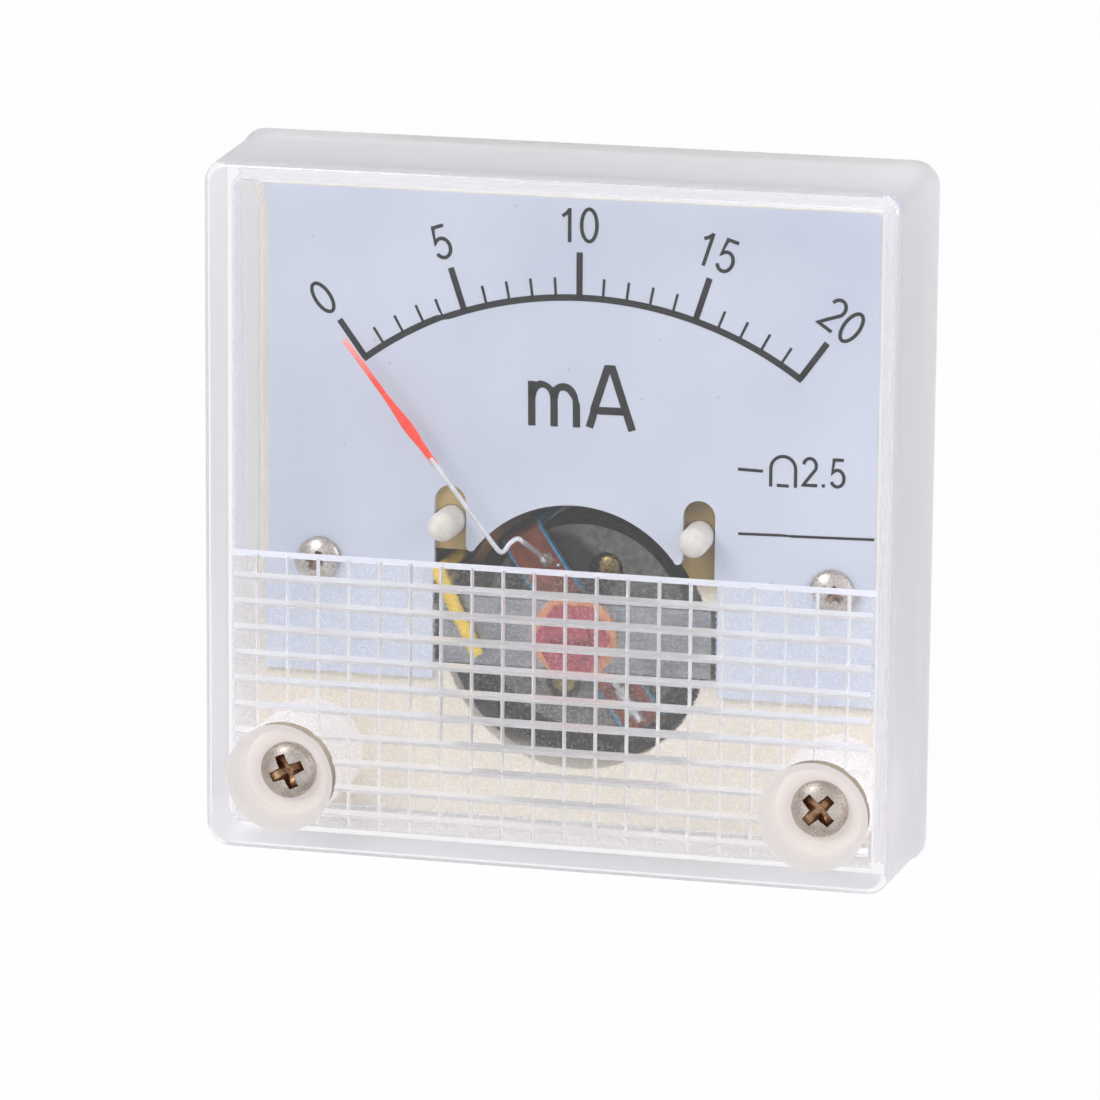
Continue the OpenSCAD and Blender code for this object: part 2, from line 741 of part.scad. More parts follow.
// A flat spiral strip wound from the collet out to the holder's tab
module hairspring(y0, hand) {
    turns = 360 * spring_turns;
    step = 15;
    start_r = collet_r + 0.01 + spring_t / 2;
    mid = [for (t = [0 : step : turns]) start_r + (spring_r - start_r) * t / turns];
    inner = [for (i = [0 : len(mid) - 1]) (mid[i] - spring_t / 2) * [cos(hand * i * step), sin(hand * i * step)]];
    outer = [for (i = [len(mid) - 1 : -1 : 0])
        (mid[i] + spring_t / 2) * [cos(hand * i * step), sin(hand * i * step)]];
    at_axis() along_y(y0, y0 + spring_h) rotate(arm_angle) polygon(concat(inner, outer));
}

module front_hairspring() {
    color("#d98e62") hairspring(front_spring_y, 1);
}

module rear_hairspring() {
    color("#d98e62") hairspring(rear_spring_y, -1);
}

// ---------- Moving coil ----------

// A rectangular loop round the core, from a to b out from the former's inner face
module coil_loop(a, b, w, x) {
    mid_y = (former_y0 + former_y1) / 2;
    h = former_y1 - former_y0;
    at_axis(coil_angle) translate([x - w / 2, mid_y, 0]) rotate([90, 0, 90]) linear_extrude(w) difference() {
        round_rect(h + 2 * b, 2 * (former_r + b), bar_round + b);
        round_rect(h + 2 * a, 2 * (former_r + a), bar_round + a);
    }
}

module coil_former() {
    color("#c8ccd0") coil_loop(0, former_t, coil_w + 2 * edge_t, 0);
}

module coil_winding() {
    color("#7c3a2c") coil_loop(former_t, coil_t, coil_w, 0);
}

module coil_edges() {
    color("#1f86b0") for (s = [-1, 1]) coil_loop(former_t, coil_t, edge_t, s * (coil_w + edge_t) / 2);
}

// A staff glued to a coil bar at y0: base, collet and pointed pivot, towards dir
module staff(y0, tip_y) {
    dir = sign(tip_y - y0);
    len_all = abs(tip_y - y0);
    at_axis() translate([0, y0, 0]) rotate([-90 * dir, 0, 0]) rotate_extrude()
        polygon([[0, 0], [1.1, 0], [1.1, 0.15], [collet_r, 0.15], [collet_r, collet_h],
            [staff_d / 2, collet_h], [staff_d / 2, len_all - 0.15], [0.08, len_all], [0, len_all]]);
}

module pivot_staffs() {
    color("#a9adb2") {
        staff(coil_y0, lever_y + lever_t - jewel_cup + 0.1);
        staff(coil_y1, anchor_y + jewel_cup - 0.1);
    }
}

module glue_bead() {
    color("#d9c9a8") at_axis(rest_angle - 10) translate([0, coil_y0, bead_r]) rotate([90, 0, 0])
        rotate_extrude() polygon([[0, 0], [0.5, 0], [0.42, 0.18], [0.22, bead_h], [0, bead_h]]);
}

// ---------- Pointer and balance ----------

// A point at radius r on a line at the given angle left of upright, y behind the panel seat
function around(r, angle, y) = [-r * sin(angle), y, pivot_z + r * cos(angle)];

module pointer_wire() {
    color("#d4d6da") wire([
        around(vane_in_r, rest_angle, -pointer_y),
        around(bend_r, rest_angle, -pointer_y),
        around(bend_r - 0.15, rest_angle - 1, -pointer_y + 0.15),
        around(bend_r + 0.05, rest_angle - 9, -pointer_y + 0.8),
        around(bend_r - 0.1, rest_angle - 11, -pointer_y + 1.1),
        around(bead_r + 0.3, rest_angle - 10, coil_y0 - bead_h - 0.7),
        around(bead_r, rest_angle - 10, coil_y0 - bead_h - 0.3),
        around(bead_r, rest_angle - 10, coil_y0 - bead_h)
    ], wire_d);
}

module pointer_vane() {
    reach = pointer_r - vane_in_r;
    edge = [[vane_tip_w / 2, pointer_r], [vane_tip_w / 2 + 0.01, vane_in_r + 0.55 * reach],
        [vane_w / 2, vane_in_r + 0.3 * reach], [vane_root_w / 2, vane_in_r + 0.12 * reach],
        [vane_root_w / 2 - 0.01, vane_in_r]];
    color("#f5594a") at_axis(rest_angle) along_y(-pointer_y - vane_t / 2, -pointer_y + vane_t / 2)
        polygon(concat(edge, [for (i = [len(edge) - 1 : -1 : 0]) [-edge[i][0], edge[i][1]]]));
}

balance_d = 0.5;
balance_end_r = 6.9;

module balance_wire() {
    y = coil_y0 - balance_d / 2;
    color("#b9bcc2") at_axis(coil_angle + 180) translate([0, y, 3.6])
        cylinder(d = balance_d, h = balance_end_r - 3.6);
}

module balance_weights() {
    y = coil_y0 - balance_d / 2;
    color("#8f9297") at_axis(coil_angle + 180) for (r = [4.4, 5.6]) translate([0, y, r]) difference() {
        cylinder(d = balance_d + 0.5, h = 0.7);
        translate([0, 0, -cut]) cylinder(d = balance_d + 2 * thread_gap, h = 0.7 + 2 * cut);
        translate([-cut, balance_d / 2, -cut]) cube([2 * cut, cut, 0.7 + 2 * cut]);
    }
}

// ---------- Terminals and wiring ----------

module terminal_studs() {
    color("#c9a24b") both_sides(terminal_x, terminal_z) {
        bar_y(terminal_head_d, terminal_head_y, rear_in_y);
        bar_y(terminal_d, rear_in_y - 0.1, barrel_len + terminal_washer_t);
        bar_y(terminal_d - thread_depth, barrel_len, free_thread_y + 0.1);
        bar_y(terminal_d, free_thread_y, barrel_len + terminal_tail);
    }
}

module terminal_washers() {
    color("#c9a24b") both_sides(terminal_x, terminal_z)
        flat_ring(terminal_af + 1.5, terminal_d + 2 * thread_gap, barrel_len, barrel_len + terminal_washer_t);
}

module terminal_nuts() {
    hole_d = terminal_d - thread_depth + 2 * thread_gap;
    color("#c9a24b") both_sides(terminal_x, terminal_z)
        for (y = [barrel_len + terminal_washer_t, outer_nut_y]) hex_nut(terminal_af, terminal_nut_h, hole_d, y);
}

module solder_tags() {
    color("#c8c9c4") both_sides(terminal_x, terminal_z) along_y(tag_y, tag_y + tag_t) difference() {
        union() {
            circle(d = terminal_af + 0.9);
            translate([-tag_w / 2, 0]) square([tag_w, tag_reach]);
            translate([0, tag_reach]) circle(d = tag_w);
        }
        circle(d = terminal_d - thread_depth + 2 * thread_gap);
        translate([0, tag_reach - tag_w / 8]) circle(d = tag_w / 2);
    }
}

shunt_d = 2.2;
shunt_len = 6.6;
shunt_wire_d = 0.6;
shunt_bend = 0.4;
shunt_z = terminal_z + 1.6;
shunt_y = terminal_head_y - shunt_d / 2;

module shunt_resistor() {
    color("#3c6e71") {
        translate([-shunt_len / 2, shunt_y, shunt_z]) rotate([0, 90, 0]) cylinder(d = shunt_d, h = shunt_len);
        for (s = [-1, 1]) wire([
            [s * (shunt_len / 2 - 0.1), shunt_y, shunt_z],
            [s * (terminal_x - shunt_bend), shunt_y, shunt_z],
            [s * terminal_x, shunt_y + shunt_bend, shunt_z],
            [s * terminal_x, terminal_head_y, shunt_z]
        ], shunt_wire_d);
    }
}

lead_d = 0.9;
lead_x = coil_out_r + 1.3;
lead_z = pivot_z + 0.64 * core_r;
lead_front_y = front_plate_y - lead_d / 2 - 0.03;
lead_land = terminal_head_d / 4;   // how far from a terminal's axis its lead is soldered
lead_bend = 0.9;                   // reach of the leads' bends

module yellow_lead() {
    color("#e3c230") wire([
        [-riser_x + 2 * lead_bend, lead_front_y, pivot_z - bridge_w / 4],
        [-lead_x + lead_bend / 3, lead_front_y, lead_z - lead_bend * 0.7],
        [-lead_x, lead_front_y + lead_bend / 2, lead_z - lead_bend / 9],
        [-lead_x, lead_front_y + lead_bend, lead_z],
        [-lead_x, core_end_y - core_y - lead_bend, lead_z],
        [-lead_x - lead_bend / 2, core_end_y - core_y, lead_z + lead_bend],
        [-terminal_x, terminal_head_y - 1.6 * lead_bend, terminal_z - lead_land - lead_bend],
        [-terminal_x, terminal_head_y - lead_bend, terminal_z - lead_land - 0.1],
        [-terminal_x, terminal_head_y, terminal_z - lead_land]
    ], lead_d, 10);
}

module red_lead() {
    land_x = riser_x - 3 * lead_bend;
    land_y = rear_plate_y + bridge_t / 2;
    land_z = pivot_z + bridge_w / 2;
    color("#b03a30") wire([
        [terminal_x, terminal_head_y, terminal_z - lead_land],
        [terminal_x, terminal_head_y - lead_bend, terminal_z - lead_land - 0.1],
        [terminal_x - lead_bend / 2, terminal_head_y - 1.2 * lead_bend, terminal_z - lead_land - lead_bend],
        [land_x + lead_bend / 3, land_y, land_z + 3.5 * lead_bend],
        [land_x, land_y, land_z + 2.5 * lead_bend],
        [land_x, land_y, land_z]
    ], bridge_t, 10);
}

cover();
mounting_screws();
mounting_washers();
mounting_nuts();
base_housing();
dial_plate();
dial_screws();
stop_posts();
yoke_ring();
core_magnet();
core_carrier();
core_rivets();
front_bridge();
rear_bridge();
movement_screws();
jewel_screws();
jewel_nuts();
insulators();
zero_lever();
spring_anchor();
front_hairspring();
rear_hairspring();
coil_former();
coil_winding();
coil_edges();
pivot_staffs();
glue_bead();
pointer_wire();
pointer_vane();
balance_wire();
balance_weights();
terminal_studs();
terminal_washers();
terminal_nuts();
solder_tags();
shunt_resistor();
yellow_lead();
red_lead();
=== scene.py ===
"""Looks of the analog panel meter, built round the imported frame."""
import math

import bmesh
import bpy
from mathutils import Matrix, Vector


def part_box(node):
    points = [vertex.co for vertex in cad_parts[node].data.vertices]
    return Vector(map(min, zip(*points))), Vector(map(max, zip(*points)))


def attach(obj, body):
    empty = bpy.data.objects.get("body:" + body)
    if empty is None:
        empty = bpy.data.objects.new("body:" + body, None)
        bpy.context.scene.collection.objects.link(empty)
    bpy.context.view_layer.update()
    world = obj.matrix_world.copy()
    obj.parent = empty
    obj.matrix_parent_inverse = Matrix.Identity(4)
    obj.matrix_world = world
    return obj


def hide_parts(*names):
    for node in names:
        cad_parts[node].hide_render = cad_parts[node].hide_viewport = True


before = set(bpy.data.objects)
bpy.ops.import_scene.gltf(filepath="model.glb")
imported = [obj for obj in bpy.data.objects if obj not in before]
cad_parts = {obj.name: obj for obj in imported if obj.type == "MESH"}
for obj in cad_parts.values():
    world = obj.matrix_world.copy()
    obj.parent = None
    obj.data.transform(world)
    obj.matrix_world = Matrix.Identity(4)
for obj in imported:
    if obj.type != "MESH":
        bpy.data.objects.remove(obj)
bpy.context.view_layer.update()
MM = 0.001

# ---------- Sizes in millimetres, taken from the frame ----------


def node_box(name):
    """Lowest and highest corner of a CAD node, in millimetres"""
    low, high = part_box(name)
    return low / MM, high / MM


COVER_LOW, COVER_HIGH = node_box("cover")
CORE_LOW, CORE_HIGH = node_box("core_magnet")
AXIS_Z = (CORE_LOW.z + CORE_HIGH.z) / 2
FACE_Y = COVER_LOW.y
REAR_HALF = COVER_HIGH.x
DIAL_Y = node_box("dial_plate")[0].y
POST_LOW, POST_HIGH = node_box("stop_posts")
POST_D = 1.9
COIL_ANGLE = 34.5
POINTER_ANGLE = 38.2
POST_X = POST_HIGH.x - POST_D / 2
POST_Z = (POST_LOW.z + POST_HIGH.z) / 2


def around(radius, angle, y):
    """A point on a line from the coil's axis, at an angle left of upright in degrees"""
    a = math.radians(angle)
    return Vector((-radius * math.sin(a), y, AXIS_Z + radius * math.cos(a)))


# ---------- Camera ----------

# Angles in degrees and distance in millimetres; the focal length and the centre of view
# are in parts of a picture that is PICTURE parts wide
CAMERA_AZIMUTH, CAMERA_ELEVATION, CAMERA_ROLL = 14.0845, 12.9279, 0.45348
CAMERA_DISTANCE = 403.444
PICTURE = 1100
FOCAL = 6516.22
CENTRE = (545.184, 528.175)


def make_camera():
    """A camera that looks at the middle of the face, turned to the right and raised"""
    az, el, roll = map(math.radians, (CAMERA_AZIMUTH, CAMERA_ELEVATION, CAMERA_ROLL))
    back = Vector((math.sin(az) * math.cos(el), -math.cos(az) * math.cos(el), math.sin(el)))
    right = Vector((math.cos(az), math.sin(az), 0))
    up = back.cross(right)
    c, s = math.cos(roll), math.sin(roll)
    right, up = right * c + up * s, up * c - right * s
    place = Vector((0, FACE_Y, 0)) + back * CAMERA_DISTANCE
    data = bpy.data.cameras.new("camera")
    camera = bpy.data.objects.new("camera", data)
    bpy.context.scene.collection.objects.link(camera)
    turn = Matrix((right, up, back)).transposed().to_4x4()
    camera.matrix_world = Matrix.Translation(place * MM) @ turn
    data.sensor_width = 36
    data.lens = FOCAL * data.sensor_width / PICTURE
    data.shift_x = (PICTURE / 2 - CENTRE[0]) / PICTURE
    data.shift_y = (CENTRE[1] - PICTURE / 2) / PICTURE
    data.clip_start = 0.01
    data.clip_end = 20
    bpy.context.scene.camera = camera


make_camera()
bpy.context.scene.view_settings.view_transform = "Standard"

# ---------- Nodes and materials ----------


def linear(code):
    """An sRGB hex colour as linear red, green, blue and alpha"""
    parts = [int(code[i:i + 2], 16) / 255 for i in (1, 3, 5)]
    return [p / 12.92 if p <= 0.04045 else ((p + 0.055) / 1.055) ** 2.4 for p in parts] + [1.0]


def add(tree, kind, inputs=None, stops=(), **settings):
    """One node with its settings, and its inputs set to a value or linked to a socket or node.
    stops are a colour ramp's positions and hex colours."""
    node = tree.nodes.new(kind)
    for key, value in settings.items():
        setattr(node, key, value)
    if stops:
        marks = node.color_ramp.elements
        while len(marks) < len(stops):
            marks.new(0.5)
        for mark, (position, code) in zip(marks, stops):
            mark.position = position
            mark.color = linear(code)
    for key, value in (inputs or {}).items():
        socket = node.inputs[key]
        if isinstance(value, bpy.types.Node):
            value = value.outputs[0]
        if isinstance(value, bpy.types.NodeSocket):
            tree.links.new(value, socket)
        else:
            socket.default_value = value
    return node


def new_material(name):
    """A material with an empty shader, its tree and its Object coordinates"""
    material = bpy.data.materials.new(name)
    material.use_nodes = True
    tree = material.node_tree
    tree.nodes.clear()
    place = add(tree, "ShaderNodeTexCoord").outputs["Object"]
    return material, tree, place


STAIN_AND_SHADE_END_Y = 8.0     # neither stain nor painted shade lies deeper than this
STAIN_AND_SHADE_DRIFT = 0.6     # how far the edge of each patch of stain and painted shade wanders


def stained(tree, place, colour, stains_and_shade):
    """Round patches of stain and of painted shade, seen along Y on what lies in front of the panel: each has
    its centre in x and z, the radii where it is full and where it ends, in millimetres, and its hex colour"""
    drift = add(tree, "ShaderNodeTexNoise", {"Vector": place, "Scale": 900.0, "Detail": 2.0})
    depth = add(tree, "ShaderNodeSeparateXYZ", {0: place}).outputs["Y"]
    front = add(tree, "ShaderNodeMath", {0: depth, 1: STAIN_AND_SHADE_END_Y * MM}, operation="LESS_THAN")
    for x, z, full, end, code in stains_and_shade:
        flat = add(tree, "ShaderNodeMapping", {"Vector": place, "Location": (-x * MM, 0, -z * MM),
                   "Scale": (1, 0, 1)})
        reach = add(tree, "ShaderNodeVectorMath", {0: flat}, operation="LENGTH").outputs["Value"]
        ragged = add(tree, "ShaderNodeMath", {0: drift, 1: STAIN_AND_SHADE_DRIFT * MM, 2: reach},
                     operation="MULTIPLY_ADD")
        share = add(tree, "ShaderNodeMapRange", {"Value": ragged, "From Min": (full + STAIN_AND_SHADE_DRIFT / 2) * MM,
                    "From Max": (end + STAIN_AND_SHADE_DRIFT / 2) * MM, "To Min": front, "To Max": 0.0})
        mixed = add(tree, "ShaderNodeMix", {0: share, 6: colour, 7: linear(code)}, data_type="RGBA")
        colour = mixed.outputs[2]
    return colour


def finish(name, dark, pale, rough, blotch_mm=2.0, grain_mm=0.12, bump=0.3, lift_mm=0.01,
           stretch=(1, 1, 1), rough_swing=0.08, stains_and_shade=(), shader=None):
    """A surface of one stuff: slow blotches between two colours, and a grain that moves
    its roughness and its relief. stretch draws the grain out along an axis. shader sets
    the shader's other sockets."""
    material, tree, place = new_material(name)
    blotch = add(tree, "ShaderNodeTexNoise", {"Vector": place, "Scale": 1 / (blotch_mm * MM), "Detail": 3.0})
    drawn = add(tree, "ShaderNodeMapping", {"Vector": place, "Scale": stretch})
    fine = add(tree, "ShaderNodeTexNoise", {"Vector": drawn, "Scale": 1 / (grain_mm * MM), "Detail": 4.0})
    both = add(tree, "ShaderNodeMath", {0: blotch, 1: fine}, operation="ADD")
    half = add(tree, "ShaderNodeMath", {0: both, 1: 0.5}, operation="MULTIPLY")
    colour = add(tree, "ShaderNodeValToRGB", {"Fac": half}, [(0.36, dark), (0.64, pale)]).outputs["Color"]
    if stains_and_shade:
        colour = stained(tree, place, colour, stains_and_shade)
    roughness = add(tree, "ShaderNodeMapRange", {"Value": fine, "To Min": max(rough - rough_swing, 0.02),
                    "To Max": min(rough + rough_swing, 1.0)})
    relief = add(tree, "ShaderNodeBump", {"Height": fine, "Strength": bump, "Distance": lift_mm * MM})
    inputs = {"Base Color": colour, "Roughness": roughness, "Normal": relief}
    inputs.update(shader or {})
    surface = add(tree, "ShaderNodeBsdfPrincipled", inputs)
    add(tree, "ShaderNodeOutputMaterial", {"Surface": surface})
    return material


METAL = {"Metallic": 1.0}

# Nickel-plated steel, turned and barrel-plated: a warm grey shine with faint turning marks
nickel = finish("nickel_plated_steel", "#A29A94", "#D2CAC2", 0.28, 1.2, 0.1, 0.12, shader=METAL)
# The same plating inside a screw's recess, painted a darker brown for the shade and the warm reflection in
# the recess
recess_nickel_painted_dark = finish("recess_nickel_painted_shade", "#6A4E3A", "#B08E70", 0.3, 0.5, 0.15, 0.3, shader=METAL)
# Zinc-plated steel, stamped and tumbled: a cool grey shine with a soft mottle
zinc = finish("zinc_plated_steel", "#A9ADB4", "#CBCFD6", 0.34, 1.0, 0.15, 0.2, shader=METAL)
# Free-cutting brass, turned: fine rings and a yellow shine, a little dulled
brass = finish("turned_brass", "#A8843A", "#D6B35E", 0.3, 1.5, 0.12, 0.2, shader=METAL)
# Old brass of the core's rivets: olive brown where it has darkened, yellow where rubbed
aged_brass = finish("darkened_brass", "#4A422C", "#A8935E", 0.3, 0.5, 0.2, 0.4, 0.02, rough_swing=0.12,
                    shader={"Metallic": 0.85})
# Stamped aluminium strip: matt grey with rolling lines along its length
strip = finish("rolled_aluminium_strip", "#7E8186", "#A6A9AE", 0.45, 2.0, 0.1, 0.3,
               stretch=(0.1, 1, 1), shader=METAL)
# Phosphor bronze strip, cold rolled: an orange brown shine
bronze = finish("phosphor_bronze_strip", "#B06C43", "#E2A077", 0.32, 1.0, 0.08, 0.2,
                stretch=(0.2, 1, 1), shader=METAL)
# Moulded urea base: warm ivory with a fine satin skin, and olive brown round the stop posts:
# partly a stain where the amber lacquer that seals them has run, partly painted shade of the deep slots,
# darkest at the right post
ivory = finish("moulded_ivory_plastic", "#DFD7C6", "#EDE6D9", 0.48, 6.0, 0.25, 0.25, 0.008, stains_and_shade=[
    (-POST_X, POST_Z, 2.9, 4.2, "#B89F68"), (-POST_X - 0.6, POST_Z - 3.4, 1.5, 3.0, "#A88C55"),
    (POST_X, POST_Z, 2.9, 4.2, "#8A7340"), (POST_X - 0.5, POST_Z + 1.9, 0.3, 1.4, "#6B5A30"),
    (POST_X - 0.8, POST_Z + 0.4, 0.2, 0.9, "#6E4A38")])
# Sintered magnet, ground on its face: dark grey crystals, and a painted shadow on the face beside the coil
magnet = finish("sintered_magnet", "#4E4D4C", "#82807D", 0.42, 0.5, 0.09, 0.5, 0.02,
                rough_swing=0.15, stains_and_shade=[(-2.0, AXIS_Z + 2.6, 3.2, 3.9, "#1E2027")],
                shader={"Metallic": 0.35})
# Soft iron ring, blackened in hot oxide: near black with a dull shine, browner and lighter
# at the left, with an ochre patch high on the left and an olive one low at the left
iron = finish("blackened_soft_iron", "#0E0D12", "#222126", 0.38, 0.8, 0.15, 0.35,
              stains_and_shade=[(-7.6, AXIS_Z + 4.2, 3.2, 5.0, "#4A352C"), (-7.6, AXIS_Z + 5.6, 1.0, 2.0, "#8A5C38"),
                      (-9.9, POST_Z - 1.7, 1.2, 1.9, "#8F7F52")],
              shader={"Metallic": 0.4, "Specular IOR Level": 0.2})
# Turned nylon rod: creamy white and waxy
nylon = finish("turned_nylon", "#DAD4C9", "#E9E4DB", 0.42, 0.8, 0.2, 0.15,
               shader={"Subsurface Weight": 0.15, "Subsurface Radius": (0.001, 0.0009, 0.0008),
                       "Subsurface Scale": 0.5})
# Vulcanised fibre washer: pale orange with a leathery mottle
fibre = finish("orange_vulcanised_fibre", "#C98254", "#E8AE84", 0.6, 0.7, 0.15, 0.4, 0.015)
# Locking lacquer brushed over the jewel screw and its nut: burgundy, thick and glossy
burgundy = finish("burgundy_locking_lacquer", "#8E2338", "#B23A50", 0.24, 0.7, 0.3, 0.3, 0.03,
                  shader={"Coat Weight": 0.5, "Coat Roughness": 0.1})
# Bare aluminium sheet of the coil's former: bright, with fine drawing lines
former_sheet = finish("thin_aluminium_sheet", "#B9BDC2", "#DADDE2", 0.3, 1.0, 0.08, 0.2,
                      stretch=(1, 0.15, 1), shader=METAL)
# Varnished copper wire of the winding: dark copper brown under a clear gloss
winding_wire = finish("varnished_copper_wire", "#6E2A1C", "#B45A3E", 0.34, 0.5, 0.1, 0.15,
                      shader={"Metallic": 0.4, "Coat Weight": 0.35, "Coat Roughness": 0.15})
# Thin polyester tape at the winding's edges: clear blue gloss
tape = finish("blue_polyester_tape", "#1673A0", "#35A0CC", 0.28, 0.6, 0.12, 0.2)
# Ground steel of the pivot staffs: bright, polished
polished = finish("polished_steel", "#9DA1A6", "#C4C8CD", 0.18, 1.0, 0.1, 0.08, shader=METAL)
# Hardened lacquer bead: honey coloured and glossy
lacquer_bead = finish("hardened_lacquer", "#B59E86", "#DDD0BC", 0.2, 0.3, 0.15, 0.5, 0.03,
                      shader={"Transmission Weight": 0.65, "IOR": 1.5})
# Bare aluminium wire of the pointer: silver with faint drawing lines
pointer_metal = finish("drawn_aluminium_wire", "#CBCDD3", "#EEF0F4", 0.46, 0.8, 0.06, 0.2,
                       shader={"Metallic": 0.65})
# Tinned wire of the balance weights
tinned = finish("tinned_copper", "#9C9EA0", "#C6C8C6", 0.35, 0.6, 0.12, 0.3, shader=METAL)
# Insulated leads, extruded vinyl: even colour with a soft gloss
yellow_vinyl = finish("yellow_vinyl", "#D9B21E", "#F0D043", 0.36, 1.0, 0.2, 0.15)
red_vinyl = finish("red_vinyl", "#9E2C24", "#C04438", 0.36, 1.0, 0.2, 0.15)
# Lacquered body of the shunt resistor: dipped blue green with small sags
resistor_lacquer = finish("dipped_resistor_lacquer", "#2C5A60", "#4A8084", 0.26, 0.9, 0.3, 0.35, 0.03)


def dial_enamel_finish():
    """Sprayed white enamel on aluminium sheet: cool white, matt, with a fine orange peel
    and a few specks of dust, so that the plate isn't a flat field."""
    material, tree, place = new_material("white_dial_enamel")
    slow = add(tree, "ShaderNodeTexNoise", {"Vector": place, "Scale": 90.0, "Detail": 2.0})
    peel = add(tree, "ShaderNodeTexNoise", {"Vector": place, "Scale": 3200.0, "Detail": 3.0})
    colour = add(tree, "ShaderNodeValToRGB", {"Fac": slow}, [(0.35, "#C7CEDD"), (0.65, "#D1D7E4")])
    speck = add(tree, "ShaderNodeTexVoronoi", {"Vector": place, "Scale": 420.0}).outputs["Distance"]
    dust = add(tree, "ShaderNodeMapRange", {"Value": speck, "From Min": 0.035, "From Max": 0.06,
               "To Min": 0.35, "To Max": 0.0})
    toned = add(tree, "ShaderNodeMix", {0: dust, 6: colour, 7: linear("#8E93A4")}, data_type="RGBA")
    relief = add(tree, "ShaderNodeBump", {"Height": peel, "Strength": 0.2, "Distance": 4e-6})
    surface = add(tree, "ShaderNodeBsdfPrincipled", {"Base Color": toned.outputs[2], "Roughness": 0.55,
                  "Normal": relief})
    add(tree, "ShaderNodeOutputMaterial", {"Surface": surface})
    return material


def print_ink_finish():
    """Pad-printed black ink: a thin, even film, near black, slightly uneven at a small scale"""
    material, tree, place = new_material("black_printing_ink")
    grain = add(tree, "ShaderNodeTexNoise", {"Vector": place, "Scale": 5200.0, "Detail": 4.0})
    blacks = [(0.3, "#08090C"), (0.62, "#121318"), (0.8, "#2E3038")]
    colour = add(tree, "ShaderNodeValToRGB", {"Fac": grain}, blacks)
    relief = add(tree, "ShaderNodeBump", {"Height": grain, "Strength": 0.2, "Distance": 4e-6})
    surface = add(tree, "ShaderNodeBsdfPrincipled", {"Base Color": colour, "Roughness": 0.5,
                  "Specular IOR Level": 0.25, "Normal": relief})
    add(tree, "ShaderNodeOutputMaterial", {"Surface": surface})
    return material


def vane_lacquer_finish():
    """Fluorescent red lacquer, brushed on: bright red, thinner and paler towards the tip. Its glow is
    painted, an emission that stands in for the fluorescence and shines whatever the lamps.
    """
    material, tree, place = new_material("bright_red_lacquer")
    centred = add(tree, "ShaderNodeMapping", {"Vector": place, "Location": (0, 0, -AXIS_Z * MM)})
    split = add(tree, "ShaderNodeSeparateXYZ", {0: centred})
    flat = add(tree, "ShaderNodeCombineXYZ", {"X": split.outputs["X"], "Z": split.outputs["Z"]})
    reach = add(tree, "ShaderNodeVectorMath", {0: flat}, operation="LENGTH").outputs["Value"]
    thin = add(tree, "ShaderNodeMapRange", {"Value": reach, "From Min": 20.5 * MM, "From Max": 24.2 * MM})
    streak = add(tree, "ShaderNodeTexNoise", {"Vector": place, "Scale": 1800.0, "Detail": 3.0})
    red = add(tree, "ShaderNodeValToRGB", {"Fac": streak}, [(0.3, "#F02C1A"), (0.7, "#FF4C36")])
    mixed = add(tree, "ShaderNodeMix", {0: thin, 6: red, 7: linear("#F7B4AE")}, data_type="RGBA")
    relief = add(tree, "ShaderNodeBump", {"Height": streak, "Strength": 0.3, "Distance": 8e-6})
    # the emission is a painted red glow
    surface = add(tree, "ShaderNodeBsdfPrincipled", {"Base Color": mixed.outputs[2], "Roughness": 0.34,
                  "Normal": relief, "Emission Color": linear("#FF4A38"), "Emission Strength": 0.12})
    add(tree, "ShaderNodeOutputMaterial", {"Surface": surface})
    return material


